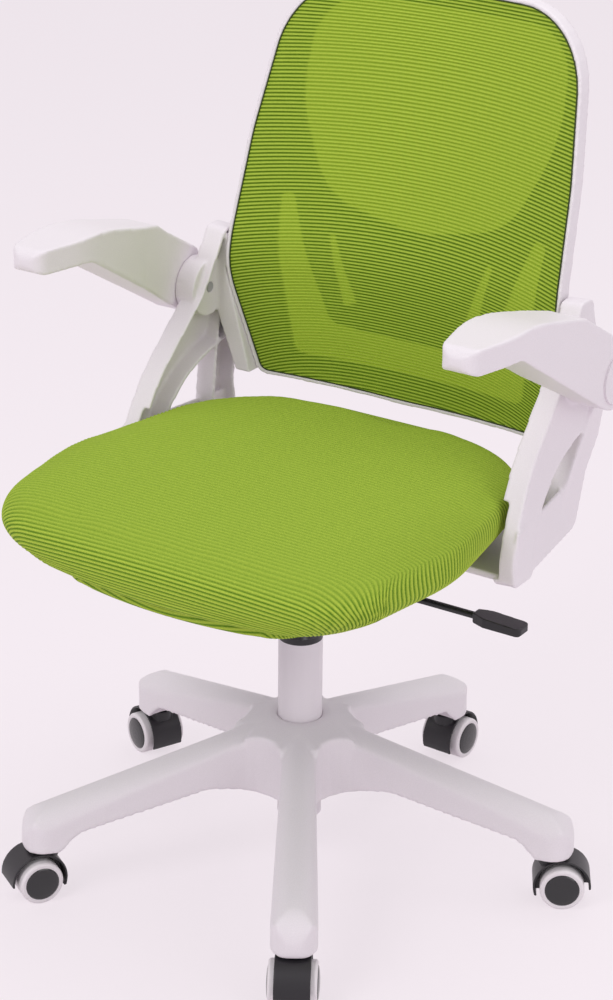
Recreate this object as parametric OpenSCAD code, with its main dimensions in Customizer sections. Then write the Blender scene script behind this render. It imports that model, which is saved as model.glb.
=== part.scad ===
// Office chair with a meshed back, ribbed seat cushion and flip-up arms on a five-leg caster base.
// The origin is on the floor under the column, +Z is up, and the chair faces -Y.

/* [Base] */
// Distance from the column to each caster's swivel axis
caster_circle_r = 297; // [270:1:330]
// Direction in which the first leg points
first_leg_angle = -57.6; // [-72:0.2:0]
// Height of the hub's top
hub_top_z = 182; // [172:1:200]
// Radius of the hub
hub_r = 34; // [32:1:40]
// Height of the caster sockets' lower end
socket_z = 60; // [58:1:66]
// Radius of a caster socket
socket_r = 20; // [18:0.5:23]
// Width of a leg at its outer end
leg_end_w = 52; // [48:1:60]
// Width of a leg near the hub
leg_root_w = 35; // [32:1:42]
// Radius of the fillets between the legs
leg_fillet_r = 40; // [25:1:50]
// Wall of the hollow legs
leg_wall = 4; // [3:0.5:6]

/* [Casters] */
// Radius of a caster wheel
wheel_r = 25; // [22:0.5:27]
// Distance from the swivel axis to the axle
caster_trail = 14; // [10:1:18]
// Width of one wheel
wheel_w = 22; // [18:1:24]
// Gap between a wheel and the fork's web
wheel_gap = 0.5; // [0.3:0.1:1]
// Radius of the wheel's dark cap
wheel_cap_r = 19.5; // [16:0.5:21]
// Radius of the axle
axle_r = 3; // [2.5:0.25:4]
// Width of the hood over the wheels
hood_w = 39; // [34:1:42]
// Radius of the caster's stem
stem_r = 5.5; // [4.5:0.5:6]

/* [Column] */
// Radius of the outer column tube
tube_r = 25; // [25:0.5:28]
// Height of the column tube's upper end
tube_top_z = 278; // [268:1:282]
// Wall of the column tube
tube_wall = 1.6; // [1.2:0.1:2.4]
// Radius of the sliding gas cylinder
cylinder_r = 14; // [13:0.5:16]
// Radius of the piston rod
rod_r = 5; // [4:0.5:6]
// Travel of the seat up, and down again, from its middle height
lift_half_travel = 50; // [30:1:52]

/* [Seat] */
// Width of the seat cushion
seat_w = 517; // [480:1:540]
// Distance from the column to the cushion's front edge
seat_front = 285; // [260:1:300]
// Distance from the column to the cushion's rear edge
seat_rear = 205; // [185:1:206]
// Height of the cushion's lower face
seat_base_z = 419; // [408:1:421]
// Thickness of the cushion at its edge
cushion_edge_t = 66; // [60:1:84]
// Rise of the cushion's crown above its edge
cushion_crown = 10; // [4:1:16]
// Thickness of the pan under the cushion
pan_t = 10; // [8:1:14]

/* [Back] */
// Height of the back's upper edge
back_top_z = 961; // [945:1:990]
// Height of the back's lower corners
back_low_z = 495; // [490:1:500]
// Width of the back at its lower corners
back_low_w = 370; // [350:1:380]
// Width of the back at its widest
back_wide_w = 439; // [430:1:446]
// Height at which the back is widest
back_wide_z = 620; // [600:1:640]
// Width of the back at its upper corners
back_top_w = 372; // [360:1:384]
// Radius of the back's upper corners
back_corner_r = 97; // [80:1:104]
// Height of the lumbar bend
lumbar_z = 652; // [640:1:662]
// Radius of the back's curve round the sitter
back_curve_r = 850; // [700:10:1200]
// Depth of the back frame's rim from front to rear
frame_depth = 18; // [17:1:21]
// Depth of the rear plate's front face behind the front of the rim
plate_depth = 22; // [20:1:26]
// Width of the frame's rim in front of the mesh
rim_w = 4; // [3:0.5:6]
// Thickness of the frame's rear plate
shell_t = 5; // [4:0.5:6]

/* [Arms] */
// Distance of an arm pad's centre line beyond the cushion's side
arm_out = 9.5; // [8:0.5:14]
// Width of an arm pad
pad_w = 64; // [56:1:70]
// Thickness of an arm pad
pad_t = 27; // [22:1:32]
// Distance from the column to an arm pad's tip
pad_front = 139; // [125:1:160]
// Height of an arm pad's top
pad_top_z = 718; // [700:1:735]
// Height of the arm's pivot
pivot_z = 600; // [592:1:608]
// Distance of the arm's pivot behind the column
pivot_y = 157; // [152:1:162]
// Radius of the arm's barrel
barrel_r = 34; // [30:1:36]
// Radius of the arm's pivot pin
pin_r = 6; // [4:0.5:8]

/* [Lever] */
// Distance from the column to the lever's outer end
lever_reach = 272; // [255:1:285]
// Height of the lever's rod
lever_z = 353; // [351:1:356]
// Distance of the lever's rod behind the column
lever_y = 20; // [17:1:22]

/* [Hidden] */
CASTERS = [1, 2, 3, 4, 5];

plastic_white = [0.88, 0.85, 0.88];
plastic_black = [0.08, 0.07, 0.09];
steel_grey = [0.62, 0.63, 0.66];
fabric_green = [0.5, 0.68, 0.14];
plywood = [0.75, 0.6, 0.42];

// Gap between parts that turn or slide past each other face to face
slip = 0.3;
// Radial clearance of a running fit
run = 0.05;
// Overrun of a cut past the faces that it opens
cut = 1;
fine = 96;

FULL_TURN = 360;
LEG_COUNT = 5;
function leg_angle(i) = first_leg_angle + (i - 1) * FULL_TURN / LEG_COUNT;
// Turn of each caster's trailing direction away from its leg, as it stands
caster_turn = [-2, 16, 1, -3, 8];

// Outline helpers

function unit(v) = v / norm(v);
function turn_between(a, b) = b - a - FULL_TURN * round((b - a) / FULL_TURN);
function corner_arc(p, c, n, r, steps) =
    r == 0 ? [c] :
    let (u = unit(p - c), v = unit(n - c), half = acos(u * v) / 2,
         m = c + unit(u + v) * r / sin(half), reach = r / tan(half),
         s = c + u * reach - m, e = c + v * reach - m,
         a = atan2(s.y, s.x), sweep = turn_between(a, atan2(e.y, e.x)))
    [for (k = [0:steps]) m + r * [cos(a + sweep * k / steps), sin(a + sweep * k / steps)]];
// A closed outline from corners given as [x, y, radius]
function rounded(c, steps = 6) = let (n = len(c))
    [for (i = [0:n - 1]) each corner_arc([c[(i + n - 1) % n].x, c[(i + n - 1) % n].y], [c[i].x, c[i].y],
        [c[(i + 1) % n].x, c[(i + 1) % n].y], c[i].z, steps)];
// An open path whose inner corners are rounded
function bent(c, steps = 6) = let (n = len(c))
    [for (i = [0:n - 1]) each (i == 0 || i == n - 1) ? [[c[i].x, c[i].y]] :
        corner_arc([c[i - 1].x, c[i - 1].y], [c[i].x, c[i].y], [c[i + 1].x, c[i + 1].y], c[i].z, steps)];
function flipped(list) = [for (i = [len(list) - 1:-1:0]) list[i]];
function mirrored(corners) = concat(corners, [for (c = flipped(corners)) [-c.x, c.y, c.z]]);
// A band along a path, given its width at the first and the last point
function band(path, w0, w1) = let (n = len(path))
    concat([for (i = [0:n - 1]) side_point(path, i, (w0 + (w1 - w0) * i / (n - 1)) / 2)],
           flipped([for (i = [0:n - 1]) side_point(path, i, -(w0 + (w1 - w0) * i / (n - 1)) / 2)]));
function side_point(path, i, off) =
    let (a = path[max(i - 1, 0)], b = path[min(i + 1, len(path) - 1)], t = unit(b - a))
    path[i] + off * [-t.y, t.x];

// Extrudes a YZ outline along X, from x0 to x1
module along_x(x0, x1) {
    translate([x0, 0, 0]) rotate([90, 0, 90]) linear_extrude(x1 - x0) children();
}
// Extrudes an XZ outline along Y, from y0 to y1
module along_y(y0, y1) {
    translate([0, y1, 0]) rotate([90, 0, 0]) linear_extrude(y1 - y0) children();
}
module rod_x(r, x0, x1, y, z) {
    translate([x0, y, z]) rotate([0, 90, 0]) cylinder(r = r, h = x1 - x0, $fn = fine);
}
module rod_y(r, y0, y1, x, z) {
    translate([x, y0, z]) rotate([-90, 0, 0]) cylinder(r = r, h = y1 - y0, $fn = fine);
}
module tube(r_in, r_out, z0, z1) {
    translate([0, 0, z0]) difference() {
        cylinder(r = r_out, h = z1 - z0, $fn = fine);
        translate([0, 0, -cut]) cylinder(r = r_in, h = z1 - z0 + 2 * cut, $fn = fine);
    }
}
module disc(r, z0, z1) {
    translate([0, 0, z0]) cylinder(r = r, h = z1 - z0, $fn = fine);
}

// Base

tip_r = caster_circle_r + leg_end_w / 2;
leg_crest_z = hub_top_z - 10;
leg_root_out = 30;
leg_root_r = hub_r + leg_root_out;
leg_end_h = 43;
leg_end_top_z = socket_z + leg_end_h;
leg_under_z = leg_end_top_z + 7;
leg_end_round = 24;
leg_tip_round = 40;
ring_r = tube_r + 4;
ring_h = 40;
hub_low_z = leg_under_z - 10;
stem_depth = 34;
boss_wall = 6;
foot_in_r = caster_circle_r - stem_r - boss_wall;
leg_rib_t = 3;

// Half of the section through a leg, as radius and height
function leg_section() = rounded([
    [0, hub_low_z, 0], [hub_r + leg_fillet_r / 2, hub_low_z, 2 * leg_wall],
    [hub_r + 2 * leg_fillet_r, leg_under_z, leg_fillet_r],
    [foot_in_r - socket_r, socket_z + socket_r, leg_end_round], [foot_in_r, socket_z, leg_wall],
    [tip_r, socket_z, leg_wall], [tip_r, leg_end_top_z, leg_tip_round],
    [leg_root_r, leg_crest_z, leg_root_r], [hub_r, hub_top_z, leg_wall / 2], [0, hub_top_z, 0]]);

// Plan of the star
function star_plan() =
    let (half = FULL_TURN / LEG_COUNT / 2, crotch_r = leg_root_w / 2 / sin(half))
    rounded([for (i = [1:LEG_COUNT]) each [
        star_point(leg_angle(i), tip_r, -leg_end_w / 2, leg_end_round),
        star_point(leg_angle(i), tip_r, leg_end_w / 2, leg_end_round),
        [crotch_r * cos(leg_angle(i) + half), crotch_r * sin(leg_angle(i) + half), leg_fillet_r]]]);
function star_point(angle, along, side, r) =
    [along * cos(angle) - side * sin(angle), along * sin(angle) + side * cos(angle), r];

// Rounded crown of one leg, whose top falls in a straight line from the hub to the leg's end
crown_r = leg_end_w / 2 - slip;
crown_h = 110;
crown_slope = atan2(leg_crest_z - leg_end_top_z, tip_r - leg_root_r);
module leg_crown() {
    translate([leg_root_r, 0, leg_crest_z]) rotate([0, crown_slope, 0]) rotate([90, 0, 90])
        translate([0, 0, -2 * leg_root_r]) linear_extrude(tip_r + 2 * leg_root_r) polygon(rounded([
            [-leg_end_w / 2, -crown_h, 0], [leg_end_w / 2, -crown_h, 0],
            [leg_end_w / 2, 0, crown_r], [-leg_end_w / 2, 0, crown_r]]));
}
// Shoulder round the hub, which covers the fillets between the legs
module hub_shoulder() {
    cover_r = leg_root_r + leg_fillet_r / 4;
    rotate_extrude($fn = fine) polygon(rounded([
        [0, 0, 0], [cover_r, 0, 0], [cover_r, leg_crest_z - leg_fillet_r + 2 * leg_wall, leg_fillet_r / 4],
        [hub_r + leg_wall, leg_crest_z + leg_wall, leg_fillet_r / 4],
        [hub_r, hub_top_z, 0], [0, hub_top_z, 0]]));
}
// Two pockets under each leg, one at each side of its middle rib
module leg_pockets() {
    near = hub_r + 2 * leg_wall;
    intersection() {
        rotate_extrude($fn = fine) polygon([
            [near, -cut], [foot_in_r, -cut], [foot_in_r, leg_end_top_z - 2 * leg_wall],
            [near, leg_crest_z - 3 * leg_wall]]);
        for (i = CASTERS, side = [-1, 1]) rotate(leg_angle(i)) linear_extrude(hub_top_z) polygon([
            [near, side * leg_rib_t / 2], [caster_circle_r, side * leg_rib_t / 2],
            [caster_circle_r, side * (leg_end_w / 2 - leg_wall)], [near, side * (leg_root_w / 2 - leg_wall)]]);
    }
}
module star_base() {
    color(plastic_white) difference() {
        intersection() {
            linear_extrude(hub_top_z) polygon(star_plan());
            rotate_extrude($fn = fine) polygon(leg_section());
            union() {
                hub_shoulder();
                for (i = CASTERS) rotate(leg_angle(i)) leg_crown();
            }
        }
        leg_pockets();
        disc(tube_r, 0, hub_top_z + cut);
        disc(ring_r, 0, hub_low_z + ring_h);
        for (i = CASTERS) rotate(leg_angle(i)) translate([caster_circle_r, 0, 0])
            disc(stem_r + run, socket_z - cut, socket_z + stem_depth);
    }
}
module hub_ring() {
    color(steel_grey) tube(tube_r, ring_r, hub_low_z, hub_low_z + ring_h);
}

// Column, with the piston rod and the cylinder that slides on it

tube_low_z = 58;
tube_floor_t = 3;
tube_in_r = tube_r - tube_wall;
bearing_t = 7;
shoulder_z = tube_low_z + tube_floor_t + bearing_t + slip;
shoulder_t = 4;
shoulder_w = 3;
shoulder_r = rod_r + shoulder_w;
stop_gap = 4;
cylinder_low_z = shoulder_z + shoulder_t + lift_half_travel + stop_gap;
cylinder_wall = 2;
cylinder_bore_r = cylinder_r - cylinder_wall;
plug_t = 8;
piston_t = 14;
piston_z = cylinder_low_z + plug_t + lift_half_travel + stop_gap;
cap_h = 7;
bush_h = 70;
bearing_w = 6;
clip_t = 1.5;
clip_w = 4;

module gas_tube() {
    color(plastic_white) difference() {
        disc(tube_r, tube_low_z, tube_top_z);
        disc(tube_in_r, tube_low_z + tube_floor_t, tube_top_z + cut);
        disc(rod_r + slip, tube_low_z - cut, tube_low_z + tube_floor_t + cut);
    }
}
module tube_bush() {
    color(plastic_black) tube(cylinder_r + run, tube_in_r, tube_top_z - bush_h, tube_top_z);
}
module tube_cap() {
    color(plastic_black) tube(cylinder_r + slip, tube_r, tube_top_z, tube_top_z + cap_h);
}
module thrust_bearing() {
    color(steel_grey) tube(rod_r + slip, rod_r + bearing_w, tube_low_z + tube_floor_t,
                           tube_low_z + tube_floor_t + bearing_t);
}
module piston_rod() {
    color(steel_grey) union() {
        disc(rod_r, tube_low_z - slip - 2 * clip_t, piston_z + piston_t);
        disc(shoulder_r, shoulder_z, shoulder_z + shoulder_t);
        disc(cylinder_bore_r - run, piston_z, piston_z + piston_t);
    }
}
module rod_clip() {
    color(steel_grey) tube(rod_r, rod_r + clip_w, tube_low_z - slip - clip_t, tube_low_z - slip);
}

// Seat mechanism. The gas cylinder's upper end sits in its socket.

pan_z = seat_base_z - pan_t;
plate_t = 3;
plate_z = pan_z - plate_t;
plate_w = 160;
plate_d = 190;
plate_corner_r = 15;
housing_w = 85;
housing_d = 64;
housing_h = 62;
housing_x = -45;
housing_low_z = plate_z - housing_h;
sheet_t = 2.5;
cylinder_drop = 22;
cylinder_top_z = plate_z - cylinder_drop;
socket_wall = 5;
button_r = 3.5;
button_stroke = 3;
button_top_z = cylinder_top_z + 2 * button_stroke;
nose_r = 4;
lever_pin_x = 30;
lever_pin_z = button_top_z + slip + nose_r;
lever_pin_r = 3;
lever_boss_r = 7;
lever_pin_over = 2;
lever_arm_w = 7;
lever_slot_h = 24;

module gas_cylinder() {
    color(steel_grey) difference() {
        disc(cylinder_r, cylinder_low_z, cylinder_top_z);
        disc(cylinder_bore_r, cylinder_low_z + plug_t, cylinder_top_z - 2 * plug_t);
        disc(rod_r + run, cylinder_low_z - cut, cylinder_low_z + plug_t + cut);
        disc(button_r + run, cylinder_top_z - 2 * plug_t - cut, cylinder_top_z + cut);
    }
}
module valve_button() {
    color(steel_grey) disc(button_r, cylinder_top_z - 2 * plug_t + button_stroke + cut, button_top_z);
}
bolt_r = 3;
bolt_head_r = 5.5;
bolt_head_t = 4;
plate_bolt_inset = 18;
plate_bolt_x = plate_w / 2 - plate_bolt_inset;
plate_bolt_y = plate_d / 2 - plate_bolt_inset;
PLATE_BOLTS = [for (x = [-1, 1], y = [-1, 1]) [x * plate_bolt_x, y * plate_bolt_y]];
module plate_bolt_holes(z0, z1) {
    for (p = PLATE_BOLTS) translate([p.x, p.y, 0]) disc(bolt_r, z0, z1);
}
module seat_plate() {
    color(plastic_black) difference() {
        union() {
            translate([0, 0, plate_z]) linear_extrude(plate_t)
                polygon(rounded(mirrored([[plate_w / 2, -plate_d / 2, plate_corner_r],
                                          [plate_w / 2, plate_d / 2, plate_corner_r]])));
            difference() {
                translate([housing_x, -housing_d / 2, housing_low_z]) cube([housing_w, housing_d, housing_h]);
                translate([housing_x + sheet_t, -housing_d / 2 + sheet_t, housing_low_z + sheet_t])
                    cube([housing_w - 2 * sheet_t, housing_d - 2 * sheet_t, housing_h]);
            }
            disc(cylinder_r + socket_wall, housing_low_z, cylinder_top_z);
        }
        disc(cylinder_r, housing_low_z - cut, plate_z);
        plate_bolt_holes(plate_z - cut, pan_z + cut);
        rod_y(lever_pin_r, -housing_d / 2 - cut, housing_d / 2 + cut, lever_pin_x, lever_pin_z);
        translate([housing_x + housing_w - 2 * sheet_t, lever_y - lever_arm_w, lever_z - lever_slot_h / 3])
            cube([4 * sheet_t, 2 * lever_arm_w, lever_slot_h]);
    }
}
module lever_pin() {
    color(steel_grey) rod_y(lever_pin_r, -housing_d / 2 - lever_pin_over, housing_d / 2 + lever_pin_over,
                           lever_pin_x, lever_pin_z);
}
module plate_bolts() {
    color(steel_grey) for (p = PLATE_BOLTS) translate([p.x, p.y, 0]) {
        disc(bolt_head_r, plate_z - bolt_head_t, plate_z);
        disc(bolt_r, plate_z - cut, seat_base_z - cut);
    }
}

// Lever that presses the valve button

lever_rod_r = 4;
handle_l = 61;
handle_w = 24;
handle_t = 12;
handle_grip = 16;
handle_r = 6;
handle_edge_r = 2;
elbow_out = 26;
elbow_x = housing_x + housing_w + elbow_out;
module lever_rod() {
    color(plastic_black) difference() {
        union() {
            rod_y(lever_boss_r, -lever_arm_w / 2, lever_y + lever_arm_w / 2, lever_pin_x, lever_pin_z);
            along_y(-lever_arm_w / 2, lever_arm_w / 2)
                polygon([[0, lever_pin_z - nose_r], [lever_pin_x, lever_pin_z - nose_r],
                         [lever_pin_x, lever_pin_z + nose_r], [0, lever_pin_z + nose_r]]);
            rod_y(nose_r, -lever_arm_w / 2, lever_arm_w / 2, 0, lever_pin_z);
            along_y(lever_y - lever_arm_w / 2, lever_y + lever_arm_w / 2)
                polygon(band(bent([[lever_pin_x, lever_pin_z, 0], [lever_pin_x, lever_z, lever_boss_r],
                                   [elbow_x, lever_z, 0]]), lever_arm_w, lever_arm_w));
            rod_x(lever_rod_r, elbow_x - 2 * lever_rod_r, lever_reach - handle_l + handle_grip,
                  lever_y, lever_z);
        }
        rod_y(lever_pin_r + run, -housing_d, housing_d, lever_pin_x, lever_pin_z);
    }
}
module lever_handle() {
    x0 = lever_reach - handle_l;
    color(plastic_black) difference() {
        intersection() {
            translate([0, 0, lever_z - handle_t]) linear_extrude(2 * handle_t)
                polygon([for (p = rounded([
                    [x0, -handle_w / 4, handle_edge_r], [x0 + handle_grip, -handle_w / 2, handle_r],
                    [lever_reach, -handle_w / 2, handle_r], [lever_reach, handle_w / 2, handle_r],
                    [x0 + handle_grip, handle_w / 2, handle_r], [x0, handle_w / 4, handle_edge_r]]))
                    [p.x, p.y + lever_y]]);
            along_y(lever_y - handle_w, lever_y + handle_w)
                polygon(rounded([[x0, lever_z - handle_t / 2, handle_edge_r],
                    [lever_reach, lever_z - handle_t / 2, handle_edge_r],
                    [lever_reach, lever_z + handle_t / 4, handle_edge_r],
                    [x0, lever_z + handle_t / 2, handle_edge_r]]));
        }
        rod_x(lever_rod_r, x0 - cut, x0 + handle_grip, lever_y, lever_z);
    }
}

// Seat pan and cushion

seat_mid_y = (seat_rear - seat_front) / 2;
seat_half_d = (seat_rear + seat_front) / 2;
// Corners of the seat's plan as shares of its half width and half depth, with radii as shares of its half width
seat_corner_shares = [[0.905, -0.93, 0.32], [1.01, -0.23, 0.8], [0.8, 1, 0.67]];
seat_bow_share = 1.078;
function seat_plan(scale_x, scale_y) = [for (p = rounded(concat(
        [[0, -seat_bow_share * seat_half_d, 2 * seat_w]],
        mirrored([for (c = seat_corner_shares) [c.x * seat_w / 2, c.y * seat_half_d, c.z * seat_w / 2]])), 7))
    [p.x * scale_x, seat_mid_y + p.y * scale_y]];
cushion_side_tuck = 90;
cushion_end_tuck = 31;
pan_inset = 6;
pan_scale_x = 1 - (cushion_side_tuck + pan_inset) / (seat_w / 2);
pan_scale_y = 1 - (cushion_end_tuck + pan_inset) / seat_half_d;
bracket_bolt_inset = 46.5;
bracket_bolt_x = seat_w / 2 - cushion_side_tuck - bracket_bolt_inset;
bracket_bolt_y = [42, 82];
module bracket_bolt_places() {
    for (x = [-1, 1], y = bracket_bolt_y) translate([x * bracket_bolt_x, y, 0]) children();
}
module seat_pan() {
    color(plywood) difference() {
        translate([0, 0, pan_z]) linear_extrude(pan_t) polygon(seat_plan(pan_scale_x, pan_scale_y));
        plate_bolt_holes(pan_z - cut, seat_base_z - cut);
        bracket_bolt_places() disc(bolt_r, pan_z - cut, seat_base_z - cut);
    }
}
cushion_side_r = 12;
cushion_end_r = 37;
cushion_mid_share = 0.61;
cushion_mid_z = seat_base_z + cushion_edge_t * cushion_mid_share;
cushion_top_z = seat_base_z + cushion_edge_t;
low_rings = 5;
edge_rings = 6;
crown_rings = 4;
function inset_x(d) = 1 - d / (seat_w / 2);
function inset_y(d) = 1 - d / seat_half_d;
// Rings of the cushion from the rim of its base to its crown, as scale in X, scale in Y and height
cushion_rings = concat(
    [for (k = [0:low_rings - 1]) let (a = 90 * k / low_rings, share = 1 - sin(a))
        [inset_x(cushion_side_tuck * share), inset_y(cushion_end_tuck * share),
         seat_base_z + (cushion_mid_z - seat_base_z) * (1 - cos(a))]],
    [for (k = [0:edge_rings]) let (a = 90 * k / edge_rings)
        [inset_x(cushion_side_r * (1 - cos(a))), inset_y(cushion_end_r * (1 - cos(a))),
         cushion_mid_z + (cushion_top_z - cushion_mid_z) * sin(a)]],
    [for (k = [1:crown_rings]) let (s = 1 - k / (crown_rings + 1))
        [s * inset_x(cushion_side_r), s * inset_y(cushion_end_r),
         cushion_top_z + cushion_crown * (1 - s * s)]]);
function cushion_ring(ring) = [for (p = seat_plan(ring.x, ring.y)) [p.x, p.y, ring.z]];
module seat_cushion() {
    rings = [for (r = cushion_rings) cushion_ring(r)];
    n = len(rings[0]);
    m = len(rings);
    points = concat([for (r = rings) each r],
        [[0, seat_mid_y, seat_base_z], [0, seat_mid_y, cushion_top_z + cushion_crown]]);
    sides = [for (j = [0:m - 2], i = [0:n - 1]) let (a = j * n + i, b = j * n + (i + 1) % n)
        each [[a, a + n, b + n], [a, b + n, b]]];
    floor_faces = [for (i = [0:n - 1]) [n * m, i, (i + 1) % n]];
    top_faces = [for (i = [0:n - 1]) [n * m + 1, (m - 1) * n + (i + 1) % n, (m - 1) * n + i]];
    color(fabric_green) polyhedron(points, concat(sides, floor_faces, top_faces));
}

// Back. Its front surface follows a profile in YZ, turned about an upright axis in front of the sitter.

back_low_y = 180;
back_lumbar_y = 168;
back_top_y = 253;
back_bend_r = 160;
back_low_r = 16;
back_wide_r_share = 1.2;
back_shoulder_r_share = 0.88;
back_shoulder_share = 0.48;
back_shoulder_w_share = 0.284;
back_corner_least_r = 2;
back_dip = 6;
back_side_x = 210;
back_axis_y = back_lumbar_y - sqrt(back_curve_r * back_curve_r - back_side_x * back_side_x);
profile_over = 20;
back_low_slope = (back_low_y - back_lumbar_y) / (lumbar_z - back_low_z);
back_top_slope = (back_top_y - back_lumbar_y) / (back_top_z - lumbar_z);
back_low_end_z = back_low_z - back_dip - profile_over;
back_top_end_z = back_top_z + profile_over;
back_path = bent([
    [back_lumbar_y + back_low_slope * (lumbar_z - back_low_end_z), back_low_end_z, 0],
    [back_lumbar_y, lumbar_z, back_bend_r],
    [back_lumbar_y + back_top_slope * (back_top_end_z - lumbar_z), back_top_end_z, 0]], 10);
// Radius of the turned surface where the profile has the given depth
function turned_r(y) = back_curve_r + y - back_lumbar_y;
module back_sheet(depth0, depth1) {
    sweep = 2 * asin((back_wide_w / 2 + profile_over) / back_curve_r);
    translate([0, back_axis_y, 0]) rotate(90 - sweep / 2)
        rotate_extrude(angle = sweep, $fn = 8 * fine)
            polygon(concat([for (p = back_path) [turned_r(p.x + depth0), p.y]],
                           flipped([for (p = back_path) [turned_r(p.x + depth1), p.y]])));
}
back_shoulder_z = back_wide_z + back_shoulder_share * (back_top_z - back_wide_z);
back_shoulder_w = back_wide_w + back_shoulder_w_share * (back_top_w - back_wide_w);
function back_outline(inset) = rounded(concat(
    [[0, back_low_z - back_dip + inset, back_curve_r]],
    mirrored([[back_low_w / 2 - inset, back_low_z + inset, max(back_low_r - inset, back_corner_least_r)],
              [back_wide_w / 2 - inset, back_wide_z, back_wide_r_share * (back_wide_z - back_low_z)],
              [back_shoulder_w / 2 - inset, back_shoulder_z, back_shoulder_r_share * (back_top_z - back_wide_z)],
              [back_top_w / 2 - inset, back_top_z - inset, back_corner_r - inset]])), 8);
module back_slab(inset, depth0, depth1) {
    intersection() {
        back_sheet(depth0, depth1);
        along_y(0, 3 * back_top_y) polygon(back_outline(inset));
    }
}
mesh_t = 2.4;
mesh_front = 0.6;
ledge_depth = mesh_front + mesh_t;
rim_total_w = 9;
// Corners of the openings in the rear plate, as shares of the back's half width and of its height,
// with radii as shares of its half width
upper_opening_shares = [[0, 0.411, 0.86], [0.54, 0.467, 0.36], [0.762, 0.687, 0.73], [0.742, 0.94, 0.27]];
lower_opening_shares = [[0, 0.137, 1.3], [0.474, 0.146, 0.1], [0.72, 0.467, 0.03], [0.79, 0.458, 0.03],
    [0.765, 0.295, 0.27], [0.69, 0.052, 0.06]];
slot_shares = [[0.474, 0.381, 0.034], [0.36, 0.206, 0.084]];
function on_back(c) =
    [c.x * back_wide_w / 2, back_low_z + c.y * (back_top_z - back_low_z), c.z * back_wide_w / 2];
function opening(shares) = let (c = [for (share = shares) on_back(share)])
    rounded(concat([c[0]], mirrored([for (i = [1:len(c) - 1]) c[i]])), 8);
function panel_slot() = let (c = [for (share = slot_shares) on_back(share)])
    band([[c[0].x, c[0].y], [c[1].x, c[1].y]], c[0].z, c[1].z);
back_bolt_drop = [84, 6];
back_bolt_z = [for (drop = back_bolt_drop) lumbar_z - drop];
function profile_y(z) = lookup(z, [for (p = back_path) [p.y, p.x]]);
// Depth of the front surface at a distance from the middle plane
function surface_y(x, z) = back_axis_y + sqrt(pow(turned_r(profile_y(z)), 2) - x * x);
function back_bolt_y(z) = surface_y(frame_side_x(z) - rim_total_w, z) + frame_depth / 2;
function frame_side_x(z) = lookup(z, [[back_low_z, back_low_w / 2], [back_wide_z, back_wide_w / 2],
                                      [back_shoulder_z, back_shoulder_w / 2]]);
back_bolt_l = 22;
module back_bolt_shafts(r, x0, x1) {
    for (z = back_bolt_z, side = [-1, 1]) scale([side, 1, 1])
        rod_x(r, frame_side_x(z) + x0, frame_side_x(z) + x1, back_bolt_y(z), z);
}
module back_shell() {
    color(plastic_white) difference() {
        union() {
            difference() {
                union() {
                    back_slab(0, 0, frame_depth);
                    back_slab(rim_w, ledge_depth, plate_depth + shell_t);
                }
                back_slab(rim_w, -profile_over, ledge_depth);
                back_slab(rim_total_w, -profile_over, plate_depth + profile_over);
            }
            back_slab(rim_w, plate_depth, plate_depth + shell_t);
        }
        along_y(back_low_y, 3 * back_top_y) polygon(opening(upper_opening_shares));
        along_y(back_low_y, 3 * back_top_y) polygon(opening(lower_opening_shares));
        for (side = [0, 1]) mirror([side, 0, 0]) along_y(back_low_y, 3 * back_top_y) polygon(panel_slot());
        back_bolt_shafts(bolt_r, -4 * rim_total_w, 2 * rim_total_w);
        back_bolt_shafts(bolt_head_r, -4 * rim_total_w, -rim_total_w / 2);
    }
}
module back_mesh() {
    color(fabric_green) back_slab(rim_w, mesh_front, ledge_depth);
}
module back_bolts() {
    color(steel_grey) union() {
        back_bolt_shafts(bolt_r, -rim_total_w, back_bolt_l - rim_total_w);
        back_bolt_shafts(bolt_head_r - slip, -rim_total_w / 2 - bolt_head_t, -rim_total_w / 2);
    }
}

// Side brackets, which carry the back and the arms on the seat pan

bracket_t = 26;
bracket_out = 5.5;
bracket_low_x = seat_w / 2 + bracket_out;
foot_t = 8;
foot_z = pan_z - foot_t;
strut_wall = 4;
boss_tuck = 0.5;
boss_face_x = seat_w / 2 - boss_tuck;
ear_face_x = boss_face_x - 2 * strut_wall;
bracket_lean = atan2(bracket_low_x - ear_face_x, pivot_z - foot_z);
cushion_gap = 2;
// A polygon drawn in from its edge
function drawn_in(p, d) = let (n = len(p))
    [for (i = [0:n - 1]) let (t = unit(p[(i + 1) % n] - p[(i + n - 1) % n])) p[i] + d * [-t.y, t.x]];
bracket_rise = 20;
bracket_top_z = lumbar_z + bracket_rise;
bracket_front_y = 8;
bracket_rear_y = 206;
opening_top_z = pivot_z - 2 * barrel_r;
opening_rise = 45;
opening_low_z = seat_base_z + opening_rise;
strut_w = 44;
ear_w = 26;
foot_round = 10;
// Side view of the front strut, from its foot round by the opening and over the ear above the pivot
function front_strut() = rounded([
    [bracket_front_y, foot_z, foot_round], [bracket_front_y + strut_w, foot_z, foot_round],
    [bracket_front_y + strut_w, opening_low_z - 0.8 * strut_w, 1.5 * strut_w],
    [pivot_y - 1.5 * strut_w, opening_low_z + strut_w, 3 * strut_w],
    [pivot_y + ear_w, opening_top_z, foot_round],
    [bracket_rear_y - foot_round, opening_top_z + foot_round, foot_round],
    [bracket_rear_y, pivot_z, barrel_r], [bracket_rear_y - foot_round, bracket_top_z, foot_round],
    [bracket_rear_y - foot_round - ear_w, bracket_top_z, foot_round],
    [pivot_y - ear_w, pivot_z, barrel_r],
    [bracket_front_y + strut_w, opening_low_z + 1.3 * strut_w, 4 * strut_w],
    [bracket_front_y, opening_low_z - strut_w / 2, 1.5 * strut_w]], 7);
rear_strut_x = bracket_low_x - bracket_t;
rear_strut_y = 146;
rear_strut_w = 46;
rear_strut_top_z = pivot_z - barrel_r;
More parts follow.
